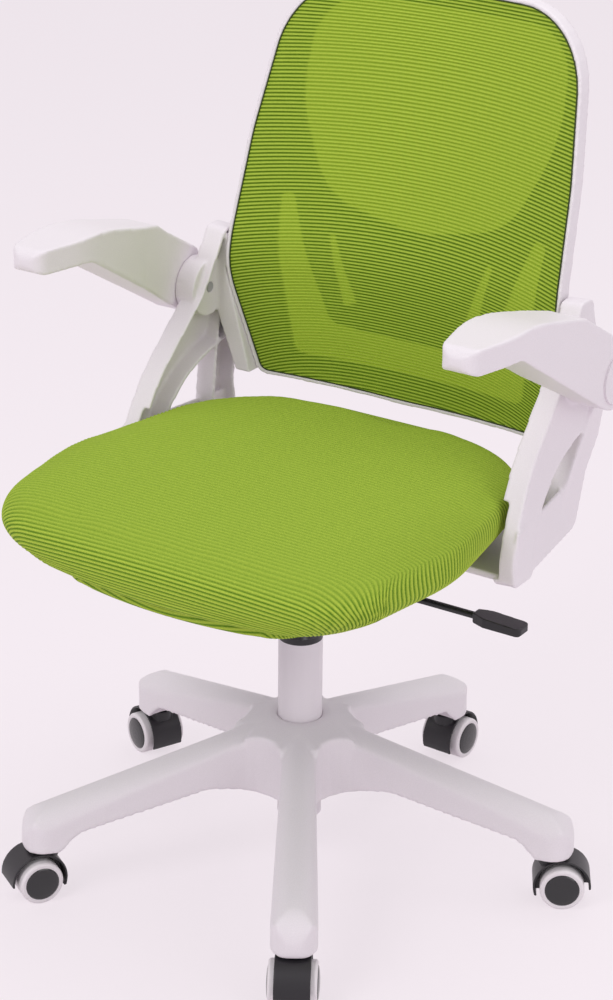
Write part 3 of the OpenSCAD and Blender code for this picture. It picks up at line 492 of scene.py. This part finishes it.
def knit_material(name, see_through=0.0):
    """Ribbed knit. see_through is how much of a gap shows what lies behind, tinted."""
    if name in bpy.data.materials:
        return bpy.data.materials[name]
    colours = bpy.context.scene.chair_colours
    material, tree, shader = bare_material(name)
    knit = tree.nodes.new("ShaderNodeGroup")
    knit.node_tree = knit_group()
    knit.inputs["Rib"].default_value = (*colours.rib_light, 1.0)
    # The gap colour holds painted shade of the grooves between the ribs
    knit.inputs["Gap"].default_value = (*colours.rib_gap_shade, 1.0)
    wire(tree, knit.outputs["Colour"], shader.inputs["Base Color"])
    if see_through > 0.0:
        through = tree.nodes.new("ShaderNodeBsdfTransparent")
        through.inputs["Color"].default_value = (*colours.rib_through, 1.0)
        rib = tree.nodes.new("ShaderNodeAttribute")
        rib.attribute_name = "rib"
        share = tree.nodes.new("ShaderNodeMapRange")
        share.inputs["From Max"].default_value = OPEN_UP_TO
        share.inputs["To Min"].default_value = see_through
        share.inputs["To Max"].default_value = 0.0
        wire(tree, rib.outputs["Fac"], share.inputs["Value"])
        mix_shaders(tree, share.outputs[0], shader, through, "Material Output")
    bump_on(tree, shader, knit.outputs["Height"], 0.4, 0.0006)
    shader.inputs["Roughness"].default_value = 0.85
    shader.inputs["Specular IOR Level"].default_value = 0.25
    return material


def white_plastic():
    colours = bpy.context.scene.chair_colours
    return grained_material(
        "White plastic", tuple(colours.shell), roughness=0.46, scale=900.0, speckle=0.07, depth=0.0004)


def black_plastic():
    colours = bpy.context.scene.chair_colours
    return grained_material(
        "Black plastic", tuple(colours.dark), roughness=0.38, scale=700.0, speckle=0.2, depth=0.0003)


def plated_steel():
    return plain_material("Zinc plated steel", (0.55, 0.56, 0.58), roughness=0.35, metallic=1.0)


# Seat cushion

SEAT_HALF_W = SEAT_W / 2
SEAT_HALF_D = (SEAT_REAR + SEAT_FRONT) / 2
SEAT_MIDDLE = np.array([0.0, (SEAT_REAR - SEAT_FRONT) / 2])
SEAT_TOP_Z = SEAT_BASE_Z + CUSHION_EDGE_T
SEAT_COLUMNS = 131
SEAT_ARC_STEPS = 24
SEAT_PLAN_POINTS = 900
TOP_EDGE_STEPS = 16
LOW_SIDE_STEPS = 18
LOW_SIDE_START = 85
SPOT_BATCHES = 200
SEAT_MARGIN = 0.0005
# How far the cover stands off the pan's edge, and over which height above it that gap grows
WRAP_GAP = 0.0022
WRAP_RISE = 0.012
# The height over which swelling fades out above the pan, and the least share of a rib's height below
CALM_RISE = 0.012
LEAST_RIB = 0.25
# The middle of a rib's colour, and how its painted shade contrast grows from the level top to the steep sides,
# where light grazes the ribs
RIB_MEAN = 0.62
FLAT_SHADE_CONTRAST = 0.2
STEEP_SHADE_GAIN = 1.6
STEEP_START = 1.15
RAY_REACH = 0.02
SWELL_BLUR = 12
NORMAL_BLUR = 6
UNDERSIDE_SHARE = 0.8
UNDERSIDE_LIFT = 0.0005


def seat_plan():
    corners = [(0, -SEAT_BOW_SHARE * SEAT_HALF_D, 2 * SEAT_W)] + mirrored(
        [(x * SEAT_HALF_W, y * SEAT_HALF_D, r * SEAT_HALF_W) for x, y, r in SEAT_CORNER_SHARES])
    return even(rounded(corners, SEAT_ARC_STEPS), SEAT_PLAN_POINTS)


def seat_ring(plan, draw_x, draw_y, z):
    """The plan's outline, drawn in and set at a height."""
    x = plan[:, 0] * (1 - draw_x / SEAT_HALF_W)
    y = SEAT_MIDDLE[1] + plan[:, 1] * (1 - draw_y / SEAT_HALF_D)
    return np.stack([x, y, np.full_like(x, z)], -1)


def seat_profile():
    """The cushion's side from the top's edge to under its rim, as its draw-in in X and in Y, and its height."""
    mid_z = SEAT_BASE_Z + CUSHION_EDGE_T * CUSHION_MID_SHARE
    out = []
    for a in np.radians(np.linspace(90, 0, TOP_EDGE_STEPS)):
        share = 1 - math.cos(a)
        out.append((CUSHION_SIDE_R * share, CUSHION_END_R * share, mid_z + (SEAT_TOP_Z - mid_z) * math.sin(a)))
    for a in np.radians(np.linspace(LOW_SIDE_START, 0, LOW_SIDE_STEPS)):
        share = 1 - math.sin(a)
        out.append((CUSHION_SIDE_TUCK * share, CUSHION_END_TUCK * share,
                    SEAT_BASE_Z + (mid_z - SEAT_BASE_Z) * (1 - math.cos(a))))
    # The cover is drawn over the pan's edge and folded under it
    gaps = [WRAP_GAP * max(0.0, 1 - (z - SEAT_BASE_Z) / WRAP_RISE) for _, _, z in out]
    out = [(x - gap, y - gap, z) for gap, (x, y, z) in zip(gaps, out)]
    x, y, z = out[-1]
    out.append((x, y, z - PAN_T + WRAP_GAP / 2))
    out.append((x + WRAP_GAP / 2, y + WRAP_GAP / 2, z - PAN_T - WRAP_GAP / 4))
    return out


PAD_CELL = 0.006
PAD_PASSES = 3
SWOLLEN_PASSES = 6
CLOTH_FRAMES = 20
CLOTH = {
    "quality": 5, "mass": 0.3, "tension_stiffness": 15, "compression_stiffness": 15, "shear_stiffness": 5,
    "bending_stiffness": 0.5, "use_pressure": True, "uniform_pressure_force": 4.0,
}


def simulate_swelling(pad, swell):
    """Blows the pad up a little as cloth under pressure, with its lower edge held."""
    before = coords(pad.data)
    held = pad.vertex_groups.new(name="held")
    low = np.nonzero(before[:, 2] < before[:, 2].min() + PAD_CELL)[0]
    held.add(low.tolist(), 1.0, "REPLACE")
    cloth = pad.modifiers.new("Cloth", "CLOTH")
    for name, value in CLOTH.items():
        setattr(cloth.settings, name, value)
    cloth.settings.vertex_group_mass = held.name
    cloth.settings.effector_weights.gravity = 0.0
    cloth.point_cache.frame_start = 1
    cloth.point_cache.frame_end = CLOTH_FRAMES
    scene = bpy.context.scene
    for number in range(1, CLOTH_FRAMES + 1):
        scene.frame_set(number)
    apply_all(pad)
    scene.frame_set(1)
    move = coords(pad.data) - before
    far = np.linalg.norm(move, axis=1)[:, None]
    put_coords(pad.data, before + move * np.minimum(1, 2 * swell / np.maximum(far, 1e-9)))
    relax(pad.data, SWOLLEN_PASSES)


def swollen_pad(swell):
    """The cushion's CAD solid, made smaller and swollen again, as a tree for rays."""
    pad = cad_copy("pad_core", "seat_cushion")
    points = coords(pad.data)
    middle = (points.min(0) + points.max(0)) / 2
    put_coords(pad.data, middle + (points - middle) * (1 - 2 * swell / (points.max(0) - points.min(0))))
    voxel_skin(pad, PAD_CELL)
    relax(pad.data, PAD_PASSES)
    simulate_swelling(pad, swell)
    tree = BVHTree.FromPolygons([Vector(p) for p in coords(pad.data)],
                                [tuple(p.vertices) for p in pad.data.polygons])
    mesh = pad.data
    bpy.data.objects.remove(pad)
    bpy.data.meshes.remove(mesh)
    return tree


def nearest_on(edge, spots):
    """Where on a closed outline each spot is nearest: the point before it, how far on, and the gap."""
    n = len(edge)
    near = ((spots[:, None] - edge[None]) ** 2).sum(2).argmin(1)
    best = None
    for i in (near, (near - 1) % n):
        a, b = edge[i], edge[(i + 1) % n]
        t = np.clip(((spots - a) * (b - a)).sum(1) / ((b - a) ** 2).sum(1), 0, 1)
        gap = np.linalg.norm(spots - (a + t[:, None] * (b - a)), axis=1)
        if best is None:
            best = [i, t, gap]
        else:
            closer = gap < best[2]
            best = [np.where(closer, new, old) for new, old in zip((i, t, gap), best)]
    return best


def seat_sheet(pitch):
    """The cover's points as rows along the ribs, with where each lies on the flat cloth."""
    plan = seat_plan()
    walls = np.stack([seat_ring(plan, *step) for step in seat_profile()], 1)
    steps = np.linalg.norm(np.diff(walls, axis=1), axis=2)
    depth = np.concatenate([np.zeros((len(plan), 1)), np.cumsum(steps, 1)], 1)
    edge = walls[:, 0, :2]
    flat = level_rows(edge + outward(edge) * depth[:, -1:], pitch, SEAT_COLUMNS, SEAT_MARGIN)
    spots = flat.reshape(-1, 2)
    from_middle = edge - SEAT_MIDDLE
    angles = np.arctan2(from_middle[:, 1], from_middle[:, 0])
    order = np.argsort(angles)
    away = spots - SEAT_MIDDLE
    share = np.linalg.norm(away, axis=1) / np.interp(
        np.arctan2(away[:, 1], away[:, 0]), angles[order], np.linalg.norm(from_middle, axis=1)[order],
        period=2 * math.pi)
    out = np.column_stack([spots, SEAT_TOP_Z + CUSHION_CROWN * (1 - share ** 2)])
    for batch in np.array_split(np.nonzero(share > 1)[0], SPOT_BATCHES):
        for at, i, t, gap in zip(batch, *nearest_on(edge, spots[batch])):
            j = (i + 1) % len(edge)
            out[at] = [np.interp(gap, depth[i], walls[i, :, c]) * (1 - t)
                       + np.interp(gap, depth[j], walls[j, :, c]) * t for c in range(3)]
    return out.reshape(*flat.shape[:2], 3), flat


def unit(vectors):
    return vectors / np.maximum(np.linalg.norm(vectors, axis=2), 1e-12)[..., None]


def sheet_normals(points):
    """Outward normals of a grid of points, evened out."""
    normals = unit(np.cross(np.gradient(points, axis=1), np.gradient(points, axis=0)))
    return unit(blurred(normals, NORMAL_BLUR))


def seat_underside(points):
    """The dust cloth under the seat, from the cover's rim inwards."""
    rim = np.concatenate([points[0], points[1:-1, -1], points[-1][::-1], points[1:-1, 0][::-1]])
    middle = rim.mean(0)
    inner = middle + (rim - middle) * UNDERSIDE_SHARE
    rim[:, 2] += UNDERSIDE_LIFT
    inner[:, 2] = rim[:, 2].min()
    n = len(rim)
    mesh = bpy.data.meshes.new("seat_underside")
    mesh.from_pydata(
        np.concatenate([rim, inner]).tolist(), [],
        [[k, k + n, (k + 1) % n + n, (k + 1) % n] for k in range(n)] + [list(range(n, 2 * n))])
    mesh.shade_smooth()
    return link("seat_underside", mesh)


class CHAIR_OT_seat(bpy.types.Operator):
    """Makes the seat cushion's ribbed cover over the simulated pad"""

    bl_idname = "chair.seat"
    bl_label = "Seat cushion"

    def execute(self, context):
        sizes = context.scene.chair_sizes
        points, flat = seat_sheet(sizes.rib_pitch)
        normals = sheet_normals(points)
        tree = swollen_pad(sizes.swell)
        offset = np.zeros(points.shape[:2])
        for place in np.ndindex(offset.shape):
            p, n = Vector(points[place]), Vector(normals[place])
            hit, _, _, far = tree.ray_cast(p + n * RAY_REACH, -n, 2 * RAY_REACH)
            if hit is not None:
                offset[place] = RAY_REACH - far
        offset = blurred(np.clip(offset, -sizes.swell, sizes.swell), SWELL_BLUR)
        calm = np.clip((points[..., 2] - points[..., 2].min() - PAN_T) / CALM_RISE, 0.0, 1.0)
        points = points + normals * (offset * calm)[..., None]
        wave = rib_wave(flat[..., 1], sizes.rib_pitch)
        rise = (wave - 1) * sizes.seat_rib_height * np.maximum(calm, LEAST_RIB)
        points = points + normals * rise[..., None]
        uv = (flat - flat.min((0, 1))) / (flat.max((0, 1)) - flat.min((0, 1)))
        mesh = grid_mesh("seat_cover", points, uv)
        # Painted shade: the gaps between the ribs darken more on the steep sides, where light grazes, than on
        # the level top
        gap_shade_contrast = np.clip(STEEP_SHADE_GAIN * (STEEP_START - normals[..., 2]), FLAT_SHADE_CONTRAST, 1.0)
        mark_ribs(mesh, RIB_MEAN + (wave - RIB_MEAN) * gap_shade_contrast)
        cover = link("seat_cover", mesh)
        finish_piece(cover, "seat", "green_fabric", knit_material("Seat knit"), "seat_cushion")
        cloth = plain_material("Dust cloth", (0.02, 0.02, 0.022), roughness=0.9)
        finish_piece(seat_underside(points), "seat", "black_plastic", cloth)
        return {"FINISHED"}


# Back

BACK_ARC_STEPS = 16
BACK_PLAN_POINTS = 1200
BEND_STEPS = 12
LEVEL_PASSES = 6
SEAM_SHADE_POINTS = 400


def back_profile():
    """The back's front surface at its sides, as y over z."""
    low_slope = (BACK_LOW_Y - BACK_LUMBAR_Y) / (LUMBAR_Z - BACK_LOW_Z)
    top_slope = (BACK_TOP_Y - BACK_LUMBAR_Y) / (BACK_TOP_Z - LUMBAR_Z)
    low_z, top_z = BACK_LOW_Z - BACK_DIP - BACK_OVER, BACK_TOP_Z + BACK_OVER
    return rounded([
        (BACK_LUMBAR_Y + low_slope * (LUMBAR_Z - low_z), low_z, 0),
        (BACK_LUMBAR_Y, LUMBAR_Z, BACK_BEND_R),
        (BACK_LUMBAR_Y + top_slope * (top_z - LUMBAR_Z), top_z, 0)], BEND_STEPS)


def back_surface(x, z, depth):
    """The y of the back's front surface, at a depth behind it."""
    path = back_profile()
    r = BACK_CURVE_R + np.interp(z, path[:, 1], path[:, 0]) - BACK_LUMBAR_Y + depth
    axis = BACK_LUMBAR_Y - math.sqrt(BACK_CURVE_R ** 2 - BACK_SIDE_X ** 2)
    return axis + np.sqrt(r * r - x * x)


def back_outline(inset):
    """The back's outline seen from the front, drawn in by an inset."""
    shoulder_z = BACK_WIDE_Z + BACK_SHOULDER_SHARE * (BACK_TOP_Z - BACK_WIDE_Z)
    shoulder_w = BACK_WIDE_W + BACK_SHOULDER_W_SHARE * (BACK_TOP_W - BACK_WIDE_W)
    corners = [(0, BACK_LOW_Z - BACK_DIP + inset, BACK_CURVE_R)] + mirrored([
        (BACK_LOW_W / 2 - inset, BACK_LOW_Z + inset, max(BACK_LOW_R - inset, BACK_LEAST_R)),
        (BACK_WIDE_W / 2 - inset, BACK_WIDE_Z, BACK_WIDE_R),
        (shoulder_w / 2 - inset, shoulder_z, BACK_SHOULDER_R),
        (BACK_TOP_W / 2 - inset, BACK_TOP_Z - inset, BACK_CORNER_R - inset)])
    return even(rounded(corners, BACK_ARC_STEPS), BACK_PLAN_POINTS)


# Height of a rib row, its arch as a share of the lumbar arch, and how sharply its ends dive at the sides
RIB_ROWS = (
    (0.500, 1.9, 3.2), (0.560, 1.5, 3.0), (0.610, 1.2, 2.6), (LUMBAR_Z, 1.0, 2.2), (0.800, 0.6, 2.0),
    (0.870, 0.6, 2.0), (BACK_TOP_Z - 0.012, 0.0, 2.0))


def rib_height_at(x, row, arch):
    """The z of a rib row at a distance x from the middle. Ribs arch most below the lumbar bend."""
    rows, shares, powers = np.array(RIB_ROWS).T
    reach = np.minimum(np.abs(x) / BACK_SIDE_X, 1.1)
    return row + arch * np.interp(row, rows, shares) * (1 - reach ** np.interp(row, rows, powers))


BACK_COLUMNS = 73
BACK_MARGIN = 0.0004
MESH_DEPTH = 0.0009
MESH_INSET = RIM_W + 0.0004
MESH_SEE_THROUGH = 0.55
SEAM_SHADE_INSET = RIM_W + 0.0012
SEAM_SHADE_DEPTH = 0.0006
SEAM_SHADE_R = 0.0008


class CHAIR_OT_back_mesh(bpy.types.Operator):
    """Makes the ribbed, see-through mesh that is stretched in the back's frame"""

    bl_idname = "chair.back_mesh"
    bl_label = "Back mesh"

    def execute(self, context):
        sizes = context.scene.chair_sizes
        edge = back_outline(MESH_INSET)
        arch = sizes.rib_arch
        # The outline is warped so that each rib row is level, and cut there
        row = 2 * edge[:, 1] - rib_height_at(edge[:, 0], edge[:, 1], arch)
        for _ in range(LEVEL_PASSES):
            row = row - (rib_height_at(edge[:, 0], row, arch) - edge[:, 1])
        rows = level_rows(np.stack([edge[:, 0], row], -1), sizes.back_rib_pitch, BACK_COLUMNS, BACK_MARGIN)
        x, along = rows[..., 0], rows[..., 1]
        z = rib_height_at(x, along, arch)
        wave = rib_wave(along, sizes.back_rib_pitch)
        depth = MESH_DEPTH + (1 - wave) * sizes.back_rib_height
        uv = (rows - rows.min((0, 1))) / (rows.max((0, 1)) - rows.min((0, 1)))
        mesh = grid_mesh("back_mesh_knit", np.stack([x, back_surface(x, z, depth), z], -1), uv)
        mark_ribs(mesh, wave)
        knit = link("back_mesh_knit", mesh)
        finish_piece(knit, "seat", "green_fabric", knit_material("Back knit", MESH_SEE_THROUGH), "back_mesh")
        # A thin dark tube in the seam between the mesh and the frame, whose dark colour is painted shade of the
        # seam
        x, z = even(back_outline(SEAM_SHADE_INSET), SEAM_SHADE_POINTS).T
        welt = tube_loop("back_seam_shade", np.stack([x, back_surface(x, z, SEAM_SHADE_DEPTH), z], -1), SEAM_SHADE_R)
        # Painted shade of the seam between the mesh and the frame
        seam_shade = plain_material("Welt", (0.03, 0.05, 0.004), roughness=0.8)
        finish_piece(welt, "seat", "green_fabric", seam_shade)
        return {"FINISHED"}


def tube_loop(name, path, radius, sides=6):
    """A thin closed tube along a path of points."""
    t = np.roll(path, -1, 0) - np.roll(path, 1, 0)
    t /= np.linalg.norm(t, axis=1)[:, None]
    b = np.cross(t, np.array([0.0, 1.0, 0.0]))
    b /= np.linalg.norm(b, axis=1)[:, None]
    n = np.cross(b, t)
    a = np.linspace(0, 2 * math.pi, sides, endpoint=False)[None, :, None]
    rings = path[:, None] + radius * (np.cos(a) * n[:, None] + np.sin(a) * b[:, None])
    index = np.arange(len(path) * sides).reshape(-1, sides)
    ahead = np.roll(index, -1, 0)
    faces = np.stack([index, np.roll(index, -1, 1), np.roll(ahead, -1, 1), ahead], -1).reshape(-1, 4)
    mesh = bpy.data.meshes.new(name)
    mesh.from_pydata(rings.reshape(-1, 3).tolist(), [], faces.tolist())
    mesh.shade_smooth()
    return link(name, mesh)


# Passes of rounding and the share of faces kept on each kind of skin, and two finer cells for small pieces

FRAME_SKIN = (6, 0.4)
BRACKET_SKIN = (16, 0.6)
ARM_SKIN = (44, 0.6)
BASE_SKIN = (70, 0.5)
HOOD_SKIN = (6, 0.5)
HANDLE_SKIN = (6, 1.0)
BASE_CELLS = 1.2
HOOD_CELL = 0.0008
HANDLE_CELL = 0.0007


class CHAIR_OT_back_frame(bpy.types.Operator):
    """Makes the back frame's moulded skin"""

    bl_idname = "chair.back_frame"
    bl_label = "Back frame"

    def execute(self, context):
        voxel = context.scene.chair_sizes.mould_voxel
        skin = moulded("back_shell", voxel, *FRAME_SKIN, name="back_frame_skin")
        finish_piece(skin, "seat", "white_plastic", white_plastic(), "back_shell")
        return {"FINISHED"}


class CHAIR_OT_brackets(bpy.types.Operator):
    """Makes the moulded skins of the two side brackets"""

    bl_idname = "chair.brackets"
    bl_label = "Side brackets"

    def execute(self, context):
        voxel = context.scene.chair_sizes.mould_voxel
        for side in SIDES:
            skin = moulded(f"bracket_{side}", voxel, *BRACKET_SKIN)
            finish_piece(skin, "seat", "white_plastic", white_plastic(), f"bracket_{side}")
        return {"FINISHED"}


class CHAIR_OT_arms(bpy.types.Operator):
    """Makes the moulded skins of the flip-up arms"""

    bl_idname = "chair.arms"
    bl_label = "Arms"

    def execute(self, context):
        voxel = context.scene.chair_sizes.mould_voxel
        for side in SIDES:
            skin = moulded(f"arm_{side}", voxel, *ARM_SKIN)
            finish_piece(skin, f"arm_{side}", "white_plastic", white_plastic(), f"arm_{side}")
            repaint(white_plastic(), f"arm_{side}_cap")
        return {"FINISHED"}


class CHAIR_OT_base(bpy.types.Operator):
    """Makes the star base's moulded skin and the column's finishes"""

    bl_idname = "chair.base"
    bl_label = "Base and column"

    def execute(self, context):
        voxel = context.scene.chair_sizes.mould_voxel
        skin = moulded("star_base", BASE_CELLS * voxel, *BASE_SKIN)
        finish_piece(skin, "base", "white_plastic", white_plastic(), "star_base")
        shell = tuple(context.scene.chair_colours.shell)
        paint = grained_material(
            "White powder coat", shell, roughness=0.4, scale=1400.0, speckle=0.03, depth=0.0002)
        repaint(paint, "gas_tube")
        repaint(plated_steel(), "hub_ring", "thrust_bearing", "rod_clip", "piston_rod")
        chrome = plain_material("Ground chrome", (0.7, 0.71, 0.73), roughness=0.12, metallic=1.0)
        repaint(chrome, "gas_cylinder")
        repaint(black_plastic(), "tube_bush", "tube_cap")
        return {"FINISHED"}


class CHAIR_OT_casters(bpy.types.Operator):
    """Finishes the five twin-wheel casters"""

    bl_idname = "chair.casters"
    bl_label = "Casters"

    def execute(self, context):
        tread = plain_material("White tread", (0.80, 0.75, 0.78), roughness=0.5)
        gloss = plain_material("Glossy black cap", (0.010, 0.010, 0.012), roughness=0.18, coat=0.3)
        for i in CASTERS:
            hood = moulded(f"caster_{i}_hood", HOOD_CELL, *HOOD_SKIN)
            finish_piece(hood, f"caster_{i}", "black_plastic", black_plastic(), f"caster_{i}_hood")
            repaint(plated_steel(), f"caster_{i}_pins")
            for side in SIDES:
                repaint(gloss, f"caster_{i}_wheel_{side}")
                repaint(tread, f"caster_{i}_tyre_{side}")
        return {"FINISHED"}


class CHAIR_OT_mechanism(bpy.types.Operator):
    """Finishes the seat plate, its lever and the bolts"""

    bl_idname = "chair.mechanism"
    bl_label = "Mechanism and lever"

    def execute(self, context):
        coat = grained_material(
            "Black powder coat", (0.014, 0.014, 0.016), roughness=0.42, scale=900.0, speckle=0.1, depth=0.0002)
        repaint(coat, "seat_plate", "lever_rod")
        repaint(plated_steel(), "plate_bolts", "lever_pin", "valve_button", "bracket_bolts", "back_bolts",
                "arm_pins")
        # The pan's plywood is painted dark: painted shade under the cushion's overhang
        repaint(plain_material("Stained plywood", (0.10, 0.07, 0.05), roughness=0.7), "seat_pan")
        handle = moulded("lever_handle", HANDLE_CELL, *HANDLE_SKIN)
        finish_piece(handle, "lever", "black_plastic", black_plastic(), "lever_handle")
        return {"FINISHED"}


# Studio

CAMERA_AZIMUTH = 33.0
CAMERA_PITCH = 0.39931
CAMERA_ROLL = 0.010
CAMERA_AIM = (0.00873, 0.47504)
CAMERA_DISTANCE = 3.1021
CAMERA_LENS = 102.233
CAMERA_SHIFT = (-0.00357, -0.0261)
LAMP_AIM = (0.0, 0.0, 0.5)
SKY_COLOUR = (0.97, 0.96, 0.98, 1.0)
SKY_STRENGTH = 0.62
FLOOR_HALF = 30.0
# How much of the floor that is seen is its plain colour. The rest takes the shadow.
FLOOR_GLOW = 0.75


def camera_matrix():
    """The camera's place and turn, as worked out from the photograph."""
    a = math.radians(CAMERA_AZIMUTH)
    look = np.array([-math.sin(a) * math.cos(CAMERA_PITCH), math.cos(a) * math.cos(CAMERA_PITCH),
                     -math.sin(CAMERA_PITCH)])
    right = np.array([math.cos(a), math.sin(a), 0.0])
    up = np.cross(right, look)
    c, s = math.cos(CAMERA_ROLL), math.sin(CAMERA_ROLL)
    right, up = c * right + s * up, c * up - s * right
    aim = np.array([CAMERA_AIM[0] * math.cos(a), CAMERA_AIM[0] * math.sin(a), CAMERA_AIM[1]])
    matrix = Matrix.Identity(4)
    for row in range(3):
        matrix[row][0], matrix[row][1], matrix[row][2] = right[row], up[row], -look[row]
        matrix[row][3] = (aim - look * CAMERA_DISTANCE)[row]
    return matrix


def soft_lamp(name, place, width, watts):
    """A round area lamp that looks at the chair's middle."""
    data = bpy.data.lights.new(name, "AREA")
    data.shape = "DISK"
    data.size = width
    data.energy = watts
    lamp = bpy.data.objects.new(name, data)
    lamp.location = place
    lamp.rotation_euler = (Vector(LAMP_AIM) - Vector(place)).to_track_quat("-Z", "Y").to_euler()
    bpy.context.scene.collection.objects.link(lamp)


def seen_rays(tree):
    """1 for rays from the camera, or that show the backdrop in metal or glass."""
    path = tree.nodes.new("ShaderNodeLightPath")
    either = path.outputs["Is Camera Ray"]
    for name in ("Is Glossy Ray", "Is Transmission Ray"):
        most = tree.nodes.new("ShaderNodeMath")
        most.operation = "MAXIMUM"
        wire(tree, either, most.inputs[0])
        wire(tree, path.outputs[name], most.inputs[1])
        either = most.outputs[0]
    return either


class CHAIR_OT_stage(bpy.types.Operator):
    """Makes the pale floor, the soft lamps, the world and the camera"""

    bl_idname = "chair.stage"
    bl_label = "Studio"

    def execute(self, context):
        scene = context.scene
        scene.view_settings.view_transform = "Standard"
        pale = tuple(scene.chair_colours.backdrop)
        world = bpy.data.worlds.new("Studio")
        world.use_nodes = True
        tree = world.node_tree
        sky = tree.nodes["Background"]
        sky.inputs["Color"].default_value = SKY_COLOUR
        sky.inputs["Strength"].default_value = SKY_STRENGTH
        seen = tree.nodes.new("ShaderNodeBackground")
        seen.inputs["Color"].default_value = (*pale, 1.0)
        mix_shaders(tree, seen_rays(tree), sky, seen, "World Output")
        scene.world = world
        floor_mesh = bpy.data.meshes.new("floor")
        corners = ((-1, -1), (1, -1), (1, 1), (-1, 1))
        floor_mesh.from_pydata([(x * FLOOR_HALF, y * FLOOR_HALF, 0) for x, y in corners], [], [(0, 1, 2, 3)])
        floor = link("floor", floor_mesh)
        material, tree, shader = bare_material("Pale floor")
        shader.inputs["Base Color"].default_value = (*pale, 1.0)
        shader.inputs["Roughness"].default_value = 0.9
        shader.inputs["Specular IOR Level"].default_value = 0.1
        glow = tree.nodes.new("ShaderNodeEmission")
        glow.inputs["Color"].default_value = (*pale, 1.0)
        share = tree.nodes.new("ShaderNodeMath")
        share.operation = "MULTIPLY"
        share.inputs[1].default_value = FLOOR_GLOW
        wire(tree, seen_rays(tree), share.inputs[0])
        mix_shaders(tree, share.outputs[0], shader, glow, "Material Output")
        floor_mesh.materials.append(material)
        soft_lamp("key", (-0.8, -2.8, 2.9), width=1.8, watts=42)
        soft_lamp("fill", (2.8, -0.6, 1.6), width=2.2, watts=16)
        soft_lamp("top", (0.2, 0.8, 3.2), width=2.0, watts=22)
        data = bpy.data.cameras.new("camera")
        data.lens = CAMERA_LENS
        data.sensor_width = 36.0
        data.sensor_fit = "AUTO"
        data.shift_x, data.shift_y = CAMERA_SHIFT
        camera = bpy.data.objects.new("camera", data)
        scene.collection.objects.link(camera)
        camera.matrix_world = camera_matrix()
        scene.camera = camera
        return {"FINISHED"}


class CHAIR_PT_panel(bpy.types.Panel):
    """Lists the chair's pieces and settings"""

    bl_idname = "CHAIR_PT_panel"
    bl_label = "Office chair"
    bl_space_type = "VIEW_3D"
    bl_region_type = "UI"
    bl_category = "Chair"

    def draw(self, context):
        layout = self.layout
        for group in (context.scene.chair_sizes, context.scene.chair_colours):
            for name in group.__annotations__:
                layout.prop(group, name)
        for operator in OPERATORS:
            layout.operator(operator.bl_idname)


OPERATORS = (CHAIR_OT_stage, CHAIR_OT_base, CHAIR_OT_casters, CHAIR_OT_mechanism, CHAIR_OT_brackets,
             CHAIR_OT_arms, CHAIR_OT_back_frame, CHAIR_OT_back_mesh, CHAIR_OT_seat)
CLASSES = (ChairSizes, ChairColours, *OPERATORS, CHAIR_PT_panel)


def register():
    for cls in CLASSES:
        bpy.utils.register_class(cls)
    bpy.types.Scene.chair_sizes = bpy.props.PointerProperty(type=ChairSizes)
    bpy.types.Scene.chair_colours = bpy.props.PointerProperty(type=ChairColours)


def unregister():
    del bpy.types.Scene.chair_colours
    del bpy.types.Scene.chair_sizes
    for cls in reversed(CLASSES):
        bpy.utils.unregister_class(cls)


def main():
    register()
    bpy.ops.chair.stage()
    bpy.ops.chair.base()
    bpy.ops.chair.casters()
    bpy.ops.chair.mechanism()
    bpy.ops.chair.brackets()
    bpy.ops.chair.arms()
    bpy.ops.chair.back_frame()
    bpy.ops.chair.back_mesh()
    bpy.ops.chair.seat()


if __name__ == "__main__":
    main()
